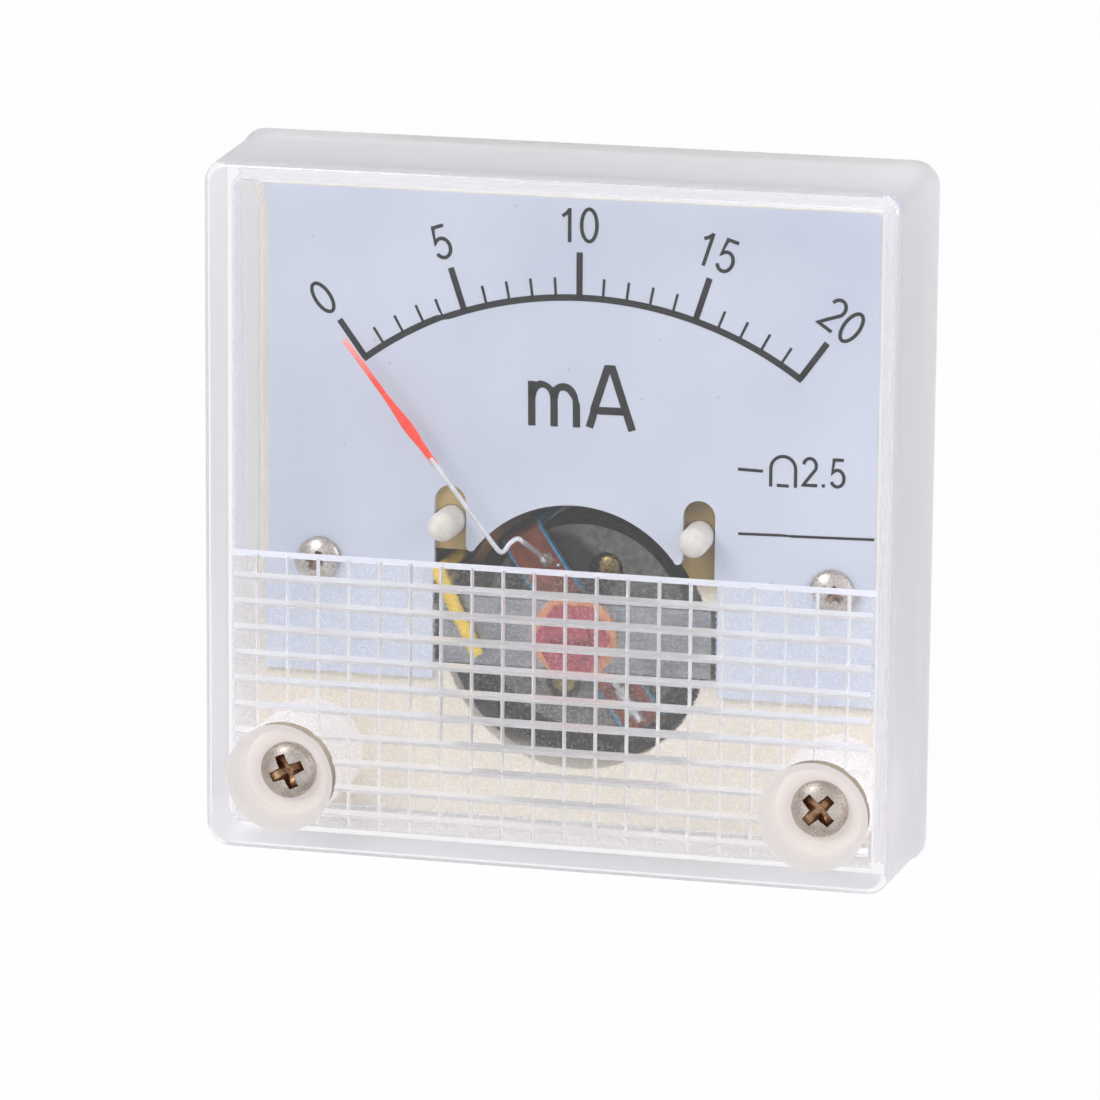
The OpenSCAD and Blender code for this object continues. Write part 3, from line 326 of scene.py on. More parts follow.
def clear_finish(name, rough, grain_mm, strength, lift_mm, milk=0.0, gloss=0.5, haze_colour="#E4E4EC",
                 behind=0.5, painted_glint=0.0, painted_glow=0.0):
    """Clear polystyrene, injection moulded. It bends what lies behind it, lets lamp light
    through to the dial, and carries a fine mould grain. milk is its share of white haze,
    behind the part of the haze that shows light from the far side, painted_glow a painted glow
    that the haze gives off in place of light reaching it from within the plastic, and painted_glint
    how bright the painted glints on the pebbled spots are, which show over dark parts and are lost over pale
    ones."""
    material, tree, place = new_material(name)
    grain = add(tree, "ShaderNodeTexNoise", {"Vector": place, "Scale": 1 / (grain_mm * MM), "Detail": 3.0})
    relief = add(tree, "ShaderNodeBump", {"Height": grain, "Strength": strength, "Distance": lift_mm * MM})
    body = add(tree, "ShaderNodeBsdfPrincipled", {"Base Color": linear("#F8F8FA"), "Roughness": rough,
               "IOR": 1.49, "Specular IOR Level": gloss, "Transmission Weight": 1.0, "Normal": relief})
    if milk:
        haze = add(tree, "ShaderNodeBsdfTranslucent", {"Color": linear(haze_colour), "Normal": relief})
        chalk = add(tree, "ShaderNodeBsdfDiffuse", {"Color": linear(haze_colour), "Normal": relief})
        white = add(tree, "ShaderNodeMixShader", {0: behind, 1: chalk, 2: haze})
        # a painted glow: an emission in the haze, given off whatever the lamps
        if painted_glow:
            lit = add(tree, "ShaderNodeEmission", {"Color": linear(haze_colour), "Strength": painted_glow})
            white = add(tree, "ShaderNodeAddShader", {0: white, 1: lit})
        body = add(tree, "ShaderNodeMixShader", {0: milk, 1: body, 2: white})
    # painted glints: an emission on the pebbled spots
    if painted_glint:
        spots = add(tree, "ShaderNodeMapRange", {"Value": grain, "From Min": 0.5, "From Max": 0.62,
                    "To Max": painted_glint})
        glint = add(tree, "ShaderNodeEmission", {"Strength": spots})
        body = add(tree, "ShaderNodeAddShader", {0: body, 1: glint})
    through = add(tree, "ShaderNodeBsdfTransparent", {"Color": (0.935, 0.935, 0.94, 1)})
    shadow = add(tree, "ShaderNodeLightPath").outputs["Is Shadow Ray"]
    surface = add(tree, "ShaderNodeMixShader", {0: shadow, 1: body, 2: through})
    add(tree, "ShaderNodeOutputMaterial", {"Surface": surface})
    return material


dial_enamel = dial_enamel_finish()
ink = print_ink_finish()
vane_lacquer = vane_lacquer_finish()
# Clear polystyrene from a polished mould: hardly seen but for its edges
clear = clear_finish("clear_moulded_styrene", 0.02, 1.8, 0.06, 0.004, gloss=0.06)
# The same from a spark-eroded mould: a pebbled skin, with painted glints on its spots that show over dark
# parts
ribbed = clear_finish("pebbled_styrene_panel", 0.04, 0.17, 0.3, 0.02, milk=0.05, gloss=0.3,
                      haze_colour="#FBF8F6", behind=0.2, painted_glint=0.09)
# Thick bosses and wells, which sank and clouded as they cooled: milky and matt, with a painted glow in place
# of the light the thick plastic scatters within
frosted = clear_finish("frosted_styrene", 0.4, 0.14, 0.4, 0.02, milk=0.9, haze_colour="#F7F2F0",
                       behind=0.12, painted_glow=0.12)
# Outer sides from a blasted mould: an even white haze
matt_wall = clear_finish("matt_moulded_styrene", 0.38, 0.2, 0.4, 0.015, milk=0.72,
                         haze_colour="#FCFBFF", behind=0.4)
# The panel's upper ledge: a bright bluish line, milky, with a painted glow in place of the light it gathers
ledge = clear_finish("bright_styrene_ledge", 0.15, 0.3, 0.3, 0.01, milk=0.8, haze_colour="#F2F4FF",
                     behind=0.3, painted_glow=0.1)
# Flanks of the panel's grooves: half milky, so that the grid shows as pale lines, with faint painted glints
# and a faint painted glow
groove = clear_finish("milky_styrene_groove", 0.3, 0.25, 0.5, 0.02, milk=0.5, haze_colour="#FBFAFC",
                      behind=0.35, painted_glint=0.04, painted_glow=0.06)

# ---------- Meshes ----------


def piece(name, points, faces, material, smooth=35):
    """A closed mesh from points in millimetres, its faces pointing outwards"""
    mesh = bpy.data.meshes.new(name)
    mesh.from_pydata([Vector(p) * MM for p in points], [], faces)
    work = bmesh.new()
    work.from_mesh(mesh)
    bmesh.ops.remove_doubles(work, verts=work.verts, dist=1e-7)
    bmesh.ops.recalc_face_normals(work, faces=work.faces)
    work.to_mesh(mesh)
    work.free()
    made = bpy.data.objects.new(name, mesh)
    bpy.context.scene.collection.objects.link(made)
    for one in material if isinstance(material, (list, tuple)) else [material]:
        mesh.materials.append(one)
    round_off(made, smooth)
    return made


def round_off(made, angle):
    """Smooth shading, with edges sharper than the angle kept"""
    mesh = made.data
    mesh.polygons.foreach_set("use_smooth", [True] * len(mesh.polygons))
    mesh.set_sharp_from_angle(angle=math.radians(angle))


def loft(rings, closed=False):
    """Points and faces through rings of equal count, capped unless the loft closes on itself"""
    count = len(rings[0])
    points = [p for ring in rings for p in ring]
    faces = []
    last = len(rings) if closed else len(rings) - 1
    for i in range(last):
        a, b = i * count, ((i + 1) % len(rings)) * count
        for k in range(count):
            n = (k + 1) % count
            faces.append((a + k, a + n, b + n, b + k))
    if not closed:
        faces.append(tuple(range(count)))
        faces.append(tuple(range((len(rings) - 1) * count, len(rings) * count)))
    return points, faces


def square_ring(half, radius, y, steps=8):
    """A round-cornered square about the Y axis"""
    ring = []
    for quarter, (sx, sz) in enumerate([(1, 1), (-1, 1), (-1, -1), (1, -1)]):
        for k in range(steps + 1):
            a = math.radians(90 * quarter + 90 * k / steps)
            ring.append((sx * (half - radius) + radius * math.cos(a), y,
                         sz * (half - radius) + radius * math.sin(a)))
    return ring


def circle_ring(radius, y, x=0.0, z=0.0, steps=48):
    """A circle about a line along Y"""
    return [(x + radius * math.cos(2 * math.pi * k / steps), y,
             z + radius * math.sin(2 * math.pi * k / steps)) for k in range(steps)]


def lathe(profile, x=0.0, z=0.0, steps=48):
    """Points and faces of a profile of radius and y, turned about a line along Y"""
    return loft([circle_ring(r, y, x, z, steps) for r, y in profile])


def box_mesh(low, high):
    """Points and faces of a box between two corners"""
    (x0, y0, z0), (x1, y1, z1) = low, high
    points = [(x, y, z) for x in (x0, x1) for y in (y0, y1) for z in (z0, z1)]
    faces = [(0, 1, 3, 2), (4, 6, 7, 5), (0, 4, 5, 1), (2, 3, 7, 6), (0, 2, 6, 4), (1, 5, 7, 3)]
    return points, faces


def merged(parts):
    """Several meshes as one list of points and faces"""
    points, faces = [], []
    for some_points, some_faces in parts:
        start = len(points)
        points += some_points
        faces += [tuple(start + i for i in face) for face in some_faces]
    return points, faces


def smooth_path(path, fine=6):
    """A path through the given points, rounded between them"""
    points = [Vector(p) for p in path]
    full = [points[0] * 2 - points[1]] + points + [points[-1] * 2 - points[-2]]
    out = []
    for a, b, c, d in zip(full, full[1:], full[2:], full[3:]):
        for k in range(fine):
            t = k / fine
            out.append(0.5 * ((2 * b) + (c - a) * t + (2 * a - 5 * b + 4 * c - d) * t * t
                              + (3 * b - a - 3 * c + d) * t ** 3))
    out.append(points[-1])
    return out


def sweep(path, radius, sides=12, closed=False):
    """A round wire along a path; radius may be one value or a function of the share of the path"""
    count = len(path)
    rings = []
    side = None
    for i, p in enumerate(path):
        before = path[i - 1] if i or closed else p
        after = path[(i + 1) % count] if i < count - 1 or closed else p
        along = (Vector(after) - Vector(before)).normalized()
        if side is None:
            side = along.cross(Vector((0.83, 0.11, 0.55))).normalized()
        side = (side - along * side.dot(along)).normalized()
        other = along.cross(side)
        r = radius(i / (count - 1)) if callable(radius) else radius
        rings.append([Vector(p) + r * (math.cos(a) * side + math.sin(a) * other)
                      for a in (2 * math.pi * k / sides for k in range(sides))])
    return loft(rings, closed)


def swing(made, angle):
    """Places an upright piece at an angle about the coil's axis, left of upright in degrees"""
    turn = Matrix.Rotation(math.radians(-angle), 4, "Y")
    made.data.transform(Matrix.Translation((0, 0, AXIS_Z * MM)) @ turn)


def plain_mesh(made):
    """Turns the evaluated object into a plain mesh and removes its modifiers"""
    graph = bpy.context.evaluated_depsgraph_get()
    mesh = bpy.data.meshes.new_from_object(made.evaluated_get(graph))
    made.modifiers.clear()
    made.data = mesh
    return made


def drop(*objects):
    """Removes helper objects that are used up"""
    for one in objects:
        bpy.data.objects.remove(one)


def carve(made, *tools, operation="DIFFERENCE"):
    """Cuts the tools from a piece, or adds them to it, and removes the tools"""
    for tool in tools:
        step = made.modifiers.new("carve", "BOOLEAN")
        step.operation = operation
        step.object = tool
        step.solver = "MANIFOLD"
        plain_mesh(made)
        drop(tool)
    return made


def join(main, *others):
    """Adds the meshes of the others to the main piece"""
    work = bmesh.new()
    for one in (main, *others):
        work.from_mesh(one.data)
    work.to_mesh(main.data)
    work.free()
    drop(*others)
    return main


def row_tree():
    """Geometry nodes: copies of a piece in an even row, each moved by Step and turned by
    Turn about the Y axis through Centre. The copies are made real and given the material."""
    tree = bpy.data.node_groups.new("even_row", "GeometryNodeTree")
    sockets = [("Geometry", "NodeSocketGeometry"), ("Count", "NodeSocketInt"), ("Step", "NodeSocketVector"),
               ("First turn", "NodeSocketFloat"), ("Turn", "NodeSocketFloat"),
               ("Centre", "NodeSocketVector"), ("Material", "NodeSocketMaterial")]
    for name, kind in sockets:
        tree.interface.new_socket(name, in_out="INPUT", socket_type=kind)
    tree.interface.new_socket("Geometry", in_out="OUTPUT", socket_type="NodeSocketGeometry")
    given = add(tree, "NodeGroupInput").outputs
    line = add(tree, "GeometryNodeMeshLine", {"Count": given["Count"], "Offset": given["Step"]})
    index = add(tree, "GeometryNodeInputIndex")
    turned = add(tree, "ShaderNodeMath", {0: index, 1: given["Turn"], 2: given["First turn"]},
                 operation="MULTIPLY_ADD")
    angles = add(tree, "ShaderNodeCombineXYZ", {"Y": turned})
    copies = add(tree, "GeometryNodeInstanceOnPoints", {"Points": line, "Instance": given["Geometry"],
                 "Rotation": angles})
    real = add(tree, "GeometryNodeRealizeInstances", {0: copies})
    moved = add(tree, "GeometryNodeTransform", {"Geometry": real, "Translation": given["Centre"]})
    clad = add(tree, "GeometryNodeSetMaterial", {"Geometry": moved, "Material": given["Material"]})
    add(tree, "NodeGroupOutput", {"Geometry": clad})
    return tree


EVEN_ROW = row_tree()


def row(made, count, material, step=(0, 0, 0), first_turn=0.0, turn=0.0, centre=(0, 0, 0)):
    """An even row of the piece, as one plain mesh; millimetres and degrees"""
    values = {"Count": count, "Step": Vector(step) * MM, "First turn": math.radians(first_turn),
              "Turn": math.radians(turn), "Centre": Vector(centre) * MM, "Material": material}
    tool = made.modifiers.new("row", "NODES")
    tool.node_group = EVEN_ROW
    for item in EVEN_ROW.interface.items_tree:
        if item.item_type == "SOCKET" and item.in_out == "INPUT" and item.name in values:
            tool[item.identifier] = values[item.name]
    plain_mesh(made)
    round_off(made, 35)
    return made


def stand(made, body, slot, *nodes):
    """Rides a piece on a body and hides the CAD nodes that it stands for; the slot it is given is not used"""
    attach(made, body)
    if nodes:
        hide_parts(*nodes)
    return made


# ---------- Clear cover ----------

DRAFT = 0.38            # how much each side narrows towards the face
FRONT_HALF = REAR_HALF - DRAFT
WALL = 1.35
WINDOW_T = 2.5
WINDOW_CORNER_R = 0.6
EDGE_R = 0.7
CORNER_R = 1.6
WINDOW_Y = FACE_Y + WINDOW_T
# The ribbed panel, let into the window from behind, and the ledge along its top
PANEL_TOP = -2.9
PANEL_SINK = 0.45
PANEL_Y = WINDOW_Y - PANEL_SINK
PANEL_HALF = FRONT_HALF - WALL - 0.3
LEDGE_H = 0.42
ROW_PITCH, ROW_DEPTH, ROW_HALF = 1.672, 0.28, 0.27
COLUMN_PITCH, COLUMN_DEPTH, COLUMN_HALF = 2.0, 0.13, 0.125
COLUMN_OVERRUN = 0.12   # the columns' bars notch the ledge
# The screws' wells and bosses
SCREW_X, SCREW_Z = 17.2, -17.3
WELL_R, WELL_DEPTH, WELL_RIM = 2.95, 2.4, 0.55
BOSS_R, BOSS_END_Y = 3.35, -1.2
SCREW_HOLE_R = 1.35
SEAT_Y = FACE_Y + WELL_DEPTH
RIM_R = WELL_R + WELL_RIM
CLEAR, RIBBED, FROSTED, MATT_WALL, LEDGE, GROOVE = range(6)


def cover_shell():
    """The outer form: a flat face, a rounded edge, and sides that widen to the rear edge"""
    rings = [square_ring(FRONT_HALF - WALL, WINDOW_CORNER_R, FACE_Y),
             square_ring(FRONT_HALF - EDGE_R, CORNER_R - EDGE_R, FACE_Y)]
    for k in range(1, 7):
        a = math.radians(90 * k / 6)
        shrink = EDGE_R * (1 - math.sin(a))
        rings.append(square_ring(FRONT_HALF - shrink, CORNER_R - shrink, FACE_Y + EDGE_R * (1 - math.cos(a))))
    rings.append(square_ring(REAR_HALF - 0.12, CORNER_R, -0.5))
    rings.append(square_ring(REAR_HALF, CORNER_R, -0.06))
    rings.append(square_ring(REAR_HALF - 0.06, CORNER_R - 0.06, 0))
    return piece("cover_shell", *loft(rings), clear)


def cover_cavity():
    """What the cover leaves free inside, rounded where the sides meet the window"""
    round_r = 0.35
    rings = []
    for k in range(5):
        a = math.radians(90 * k / 4)
        shrink = round_r * (1 - math.sin(a))
        rings.append(square_ring(FRONT_HALF - WALL - shrink, WINDOW_CORNER_R - 0.5 * shrink,
                                 WINDOW_Y + round_r * (1 - math.cos(a))))
    rings.append(square_ring(REAR_HALF - WALL + DRAFT / 10, WINDOW_CORNER_R, 1))
    return piece("cover_cavity", *loft(rings), clear)


def panel_step():
    """The step behind the panel, its upper edge sloped into the ledge"""
    half = FRONT_HALF - WALL - 0.1
    outline = [(PANEL_Y, -half), (PANEL_Y, PANEL_TOP - LEDGE_H), (WINDOW_Y + 0.2, PANEL_TOP + 0.05),
               (WINDOW_Y + 0.2, -half)]
    return piece("panel_step", *loft([[(x, y, z) for y, z in outline] for x in (-half, half)]), clear)


def groove_bar(half_length, depth, half_width, upright):
    """One V-shaped bar that cuts a groove into the panel's inner face"""
    over = 0.1
    wide = half_width * (depth + over) / depth
    section = [(-depth, 0), (over, wide), (over, -wide)]
    rings = []
    for s in (-half_length, half_length):
        rings.append([(across, y, s) if upright else (s, y, across) for y, across in section])
    return piece("groove_bar", *loft(rings), clear)


def at_both_screws(name, profile):
    """The same turned tool at the left and the right screw"""
    return [piece(name, *lathe(profile, side * SCREW_X, SCREW_Z), clear) for side in (-1, 1)]


def cover_finish_of(face):
    """Which of the cover's finishes a face has, by its place and the way it looks"""
    x, y, z = (c / MM for c in face.center)
    out = math.hypot(abs(x) - SCREW_X, z - SCREW_Z)
    across = abs(face.normal.y) > 0.95
    panel_cell = abs(y - PANEL_Y) < 0.02 and across
    in_boss = out < BOSS_R + 0.05 and y > FACE_Y + 0.1
    on_rim = out < RIM_R + 0.05 and y > FACE_Y + 0.01
    if not panel_cell and (in_boss or on_rim):
        return FROSTED
    if PANEL_Y - 0.4 < y < WINDOW_Y + 0.01 and z < PANEL_TOP + 0.05 and abs(x) < PANEL_HALF + 0.25:
        if z > PANEL_TOP - LEDGE_H - 0.02:
            return LEDGE
        return RIBBED if across else GROOVE
    return MATT_WALL if max(abs(x), abs(z)) > FRONT_HALF - 0.3 else CLEAR


def make_cover():
    """The whole cover, carved from its outer form, and its finishes face by face"""
    cover = carve(cover_shell(), cover_cavity(), panel_step())
    rows = int((PANEL_TOP - PANEL_SINK + PANEL_HALF) / ROW_PITCH)
    across = row(groove_bar(PANEL_HALF, ROW_DEPTH, ROW_HALF, False), rows, clear, step=(0, 0, -ROW_PITCH),
                 centre=(0, PANEL_Y, PANEL_TOP - ROW_PITCH - 0.05))
    columns = int(PANEL_HALF / COLUMN_PITCH)
    column_top = PANEL_TOP - LEDGE_H + COLUMN_OVERRUN
    half_column = (PANEL_HALF + column_top) / 2
    upright = row(groove_bar(half_column, COLUMN_DEPTH, COLUMN_HALF, True), 2 * columns, clear,
                  step=(COLUMN_PITCH, 0, 0),
                  centre=((0.5 - columns) * COLUMN_PITCH, PANEL_Y, column_top - half_column))
    carve(cover, across, upright)
    bosses = at_both_screws("boss", [(BOSS_R, SEAT_Y - 0.8), (BOSS_R, BOSS_END_Y - 0.15),
                                     (BOSS_R - 0.15, BOSS_END_Y)])
    carve(cover, *bosses, operation="UNION")
    wells = at_both_screws("well", [(RIM_R, FACE_Y - 0.2), (RIM_R, FACE_Y + 0.04),
                                    (WELL_R + 0.1, FACE_Y + 0.1), (WELL_R - 0.1, SEAT_Y)])
    holes = at_both_screws("hole", [(SCREW_HOLE_R, FACE_Y), (SCREW_HOLE_R, 1)])
    carve(cover, *wells, *holes)
    cover.name = "clear_cover"
    cover.data.materials.clear()
    for look in (clear, ribbed, frosted, matt_wall, ledge, groove):
        cover.data.materials.append(look)
    for face in cover.data.polygons:
        face.material_index = cover_finish_of(face)
    round_off(cover, 30)
    stand(cover, "case", "cover", "cover")


make_cover()

# ---------- Print on the dial ----------

INK_BACK_Y = DIAL_Y + 0.002
INK_FRONT_Y = DIAL_Y - 0.02
SCALE_Z = -11.06
SCALE_R = 24.1
SCALE_SWEEP = 35.9
PRINT_SKEW = 0.77
PRINT_SCALE = 1.005
DIVISIONS = 20
PER_NUMBER = 5
MINOR_TICK, MAJOR_TICK = 1.3, 2.9
NUMBER_R, NUMBER_H = 28.75, 2.25


def stroke(path, width, closed=False):
    """A flat printed line of even width along a path of x and z"""
    points = [Vector(p) for p in path]
    count = len(points)
    left, right = [], []
    for i, p in enumerate(points):
        before = points[i - 1] if i or closed else None
        after = points[(i + 1) % count] if i < count - 1 or closed else None
        a = (p - before).normalized() if before is not None else (after - p).normalized()
        b = (after - p).normalized() if after is not None else a
        normal = Vector((-(a + b).y, (a + b).x)).normalized()
        reach = width / 2 / max(normal.dot(Vector((-a.y, a.x))), 0.5)
        left.append(p + normal * reach)
        right.append(p - normal * reach)
    rings = [[(l.x, INK_FRONT_Y, l.y), (r.x, INK_FRONT_Y, r.y),
              (r.x, INK_BACK_Y, r.y), (l.x, INK_BACK_Y, l.y)] for l, r in zip(left, right)]
    return loft(rings, closed)


def bow(cx, cz, rx, rz, start, end, steps=14):
    """Part of an oval, by angles in degrees from +x"""
    return [(cx + rx * math.cos(a), cz + rz * math.sin(a))
            for a in (math.radians(start + (end - start) * k / steps) for k in range(steps + 1))]


# Each sign in a box one unit high: its width and its strokes, with True for a closed one
SIGNS = {
    "0": (0.62, [(bow(0.27, 0.5, 0.22, 0.46, 0, 345, 28), True)]),
    "1": (0.62, [([(0.33, 0.0), (0.33, 0.97)], False), ([(0.33, 0.93), (0.24, 0.82), (0.12, 0.74)], False)]),
    "2": (0.62, [(bow(0.27, 0.7, 0.21, 0.25, 170, -30, 12)
                  + [(0.2, 0.25), (0.06, 0.05), (0.52, 0.05)], False)]),
    "5": (0.62, [([(0.47, 0.94), (0.15, 0.94), (0.09, 0.5)]
                  + bow(0.26, 0.32, 0.22, 0.28, 130, -155, 16), False)]),
    ".": (0.3, [([(0.1, 0.0), (0.1, 0.11)], False)]),
    "m": (1.1, [([(0.07, 0), (0.07, 0.74)], False),
                ([(0.07, 0.45)] + bow(0.26, 0.45, 0.19, 0.25, 150, 0, 10) + [(0.45, 0)], False),
                ([(0.45, 0.45)] + bow(0.64, 0.45, 0.19, 0.25, 150, 0, 10) + [(0.83, 0)], False)]),
    "A": (0.9, [([(0.05, 0), (0.36, 0.97), (0.44, 0.97), (0.76, 0)], False),
                ([(0.17, 0.3), (0.64, 0.3)], False)]),
}


def lettering(text, x, z, height, width, turn=0.0, centred=True):
    """Printed signs, from x and z or centred there, turned by an angle in degrees"""
    total = sum(SIGNS[c][0] for c in text) * height
    pen = -total / 2 if centred else 0.0
    drop_z = -height / 2 if centred else 0.0
    a = math.radians(turn)
    parts = []
    for sign in text:
        advance, strokes = SIGNS[sign]
        for path, closed in strokes:
            placed = []
            for px, pz in path:
                u, v = pen + px * height, drop_z + pz * height
                placed.append((x + u * math.cos(a) + v * math.sin(a), z - u * math.sin(a) + v * math.cos(a)))
            parts.append(stroke(placed, width, closed))
        pen += advance * height
    return parts


def print_on(made):
    """Seats a printed piece on the dial: the print sits a little askew, as it came off the pad"""
    about = Matrix.Translation(Vector((-1.8, 0, 6.2)) * MM)
    shift = Matrix.Translation(Vector((0.34, 0, 0.25)) * MM)
    skew = Matrix.Rotation(math.radians(-PRINT_SKEW), 4, "Y")
    grow = Matrix.Diagonal((PRINT_SCALE, 1, PRINT_SCALE, 1))
    made.data.transform(shift @ about @ skew @ grow @ about.inverted())
    return stand(made, "case", "dial_plate")


def ink_piece(name, parts):
    """One printed piece of several strokes"""
    return print_on(piece(name, *merged(parts), ink))


def make_print():
    """Scale, numbers, unit sign and class marks"""
    arc = bow(0, SCALE_Z, SCALE_R, SCALE_R, 90 + SCALE_SWEEP + 0.4, 90 - SCALE_SWEEP - 0.4, 96)
    ink_piece("scale_arc", [stroke(arc, 0.42)])
    division = 2 * SCALE_SWEEP / DIVISIONS
    for name, length, width, each in (("minor_ticks", MINOR_TICK, 0.17, 1),
                                      ("major_ticks", MAJOR_TICK, 0.4, PER_NUMBER)):
        low, high = (-width / 2, INK_FRONT_Y, SCALE_R), (width / 2, INK_BACK_Y, SCALE_R + length)
        tick = piece(name, *box_mesh(low, high), ink)
        row(tick, DIVISIONS // each + 1, ink, first_turn=-SCALE_SWEEP, turn=division * each,
            centre=(0, 0, SCALE_Z))
        print_on(tick)
    parts = []
    for number in range(0, DIVISIONS + 1, PER_NUMBER):
        turn = -SCALE_SWEEP + division * number
        a = math.radians(turn)
        x, z = NUMBER_R * math.sin(a), SCALE_Z + NUMBER_R * math.cos(a)
        parts += lettering(str(number), x, z, NUMBER_H, 0.23, turn)
    ink_piece("scale_numbers", parts)
    ink_piece("unit_sign", lettering("m", -3.46, 4.58, 3.85, 0.48, 0, False)
              + lettering("A", 0.37, 4.62, 4.05, 0.5, 0, False))
    marks = [stroke([(10.25, 2.5), (11.85, 2.44)], 0.2)]
    magnet_sign = [(12.35, 1.48)] + bow(13.14, 2.65, 0.79, 0.8, 180, 0, 16) + [(13.93, 1.48)]
    marks.append(stroke(magnet_sign, 0.21))
    marks.append(stroke([(12.74, 1.58), (13.5, 1.56)], 0.2))
    marks += lettering("2.5", 14.32, 1.58, 1.92, 0.21, 0, False)
    marks.append(stroke([(10.25, -1.7), (19.1, -1.62)], 0.17))
    ink_piece("class_marks", marks)


make_print()

# ---------- Screws ----------

# Half length, half width and depth of the cross recesses
MOUNTING_CROSS = (1.14, 0.3, 0.75)
DIAL_CROSS = (0.6, 0.17, 0.45)
MOUNTING_HEAD_R, DIAL_HEAD_R = 1.8, 1.45


def cross_cutter(x, z, top_y, cross, angle):
    """A tapered cross for a screw head's recess, its upper edges broken"""
    reach, half, depth = cross
    a = math.radians(angle)
    c, s = math.cos(a), math.sin(a)
    rings = []
    for w, t, y in ((reach + 0.16, half + 0.16, top_y - 0.3), (reach + 0.16, half + 0.16, top_y - 0.02),
                    (reach + 0.04, half + 0.04, top_y + 0.1),
                    (reach * 0.93, half * 0.92, top_y + depth * 0.5),
                    (reach * 0.42, half * 0.6, top_y + depth)):
        corners = [(w, -t), (w, t), (t, t), (t, w), (-t, w), (-t, t),
                   (-w, t), (-w, -t), (-t, -t), (-t, -w), (t, -w), (t, -t)]
        rings.append([(x + u * c + v * s, y, z - u * s + v * c) for u, v in corners])
    return piece("recess", *loft(rings), recess_nickel_painted_dark)


def darken_recess(head, x, z, top_y, cross, angle):
    """Gives the faces inside a head's recess a darker brown nickel: painted shade and warm reflection"""
    reach, half, _ = cross
    head.data.materials.append(recess_nickel_painted_dark)
    a = math.radians(angle)
    c, s = math.cos(a), math.sin(a)
    for face in head.data.polygons:
        fx, fy, fz = (v / MM for v in face.center)
        u, v = sorted((abs((fx - x) * c - (fz - z) * s), abs((fx - x) * s + (fz - z) * c)))
        if u < half + 0.02 and v < reach + 0.02 and top_y + 0.1 < fy < top_y + 0.8:
            face.material_index = 1


def thread(root_r, crest_r, y0, y1, pitch, x=0.0, z=0.0, steps=20):
    """A V thread along Y, its ends faded into the root"""
    turns = (y1 - y0) / pitch
    count = int(turns * steps)
    rings = []
    for i in range(count + 1):
        t = i / count
        a = 2 * math.pi * turns * t
        y = y0 + (y1 - y0) * t
        fade = min(1, t * turns * 2, (1 - t) * turns * 2)
        crest = root_r + (crest_r - root_r) * fade
        half = pitch * 0.45
        section = ((root_r - 0.05, -half), (crest, -half * 0.12), (crest, half * 0.12), (root_r - 0.05, half))
        rings.append([(x + r * math.cos(a), y + dy, z + r * math.sin(a)) for r, dy in section])
    return loft(rings)


def domed_profile(radius, height, seat_y, rim=0.45):
    """A pan head's profile from its crown to its seat"""
    flank = height * rim
    rise = height - flank
    ball = (radius ** 2 + rise ** 2) / (2 * rise)
    top = seat_y - height
    profile = [(0.001, top)]
    for k in range(1, 9):
        r = (radius - 0.08) * k / 8
        profile.append((r, top + ball - math.sqrt(ball ** 2 - r ** 2)))
    profile += [(radius, profile[-1][1] + 0.1), (radius, seat_y - 0.06), (radius - 0.06, seat_y)]
    return profile


def make_mounting_screws():
    """The two large screws in the cover's wells"""
    low, high = node_box("mounting_screws")
    top_y = low.y
    for name, s, angle in (("left_mounting_screw", -1, -25), ("right_mounting_screw", 1, 45)):
        x = s * SCREW_X
        shank = [(1.05, SEAT_Y), (1.05, high.y - 0.25), (0.8, high.y)]
        profile = domed_profile(MOUNTING_HEAD_R, SEAT_Y - top_y, SEAT_Y) + shank
        head = piece(name, *lathe(profile, x, SCREW_Z), nickel)
        carve(head, cross_cutter(x, SCREW_Z, top_y, MOUNTING_CROSS, angle))
        darken_recess(head, x, SCREW_Z, top_y, MOUNTING_CROSS, angle)
        join(head, piece("thread", *thread(1.03, 1.25, 0.2, high.y - 0.2, 0.45, x, SCREW_Z), nickel))
        round_off(head, 35)
        stand(head, "case", "mounting_screws", "mounting_screws")


def make_dial_screws():
    """The two small screws that hold the dial"""
    low, high = node_box("dial_screws")
    x_out = (low.x - high.x) / 2 + DIAL_HEAD_R
    z = (low.z + high.z) / 2
    for name, s, angle in (("left_dial_screw", -1, 15), ("right_dial_screw", 1, 40)):
        x = -s * x_out
        profile = domed_profile(DIAL_HEAD_R, DIAL_Y - low.y, DIAL_Y) + [(0.6, DIAL_Y), (0.6, high.y)]
        head = piece(name, *lathe(profile, x, z), nickel)
        carve(head, cross_cutter(x, z, low.y, DIAL_CROSS, angle))
        darken_recess(head, x, z, low.y, DIAL_CROSS, angle)
        join(head, piece("thread", *thread(0.58, 0.7, DIAL_Y + 0.5, high.y - 0.1, 0.35, x, z, 16), nickel))
        round_off(head, 35)
        stand(head, "case", "dial_screws", "dial_screws")


make_mounting_screws()
make_dial_screws()

# ---------- Terminals ----------

COLLAR_R, COLLAR_END_Y = 3.0, 14.0
STUD_R = 1.32


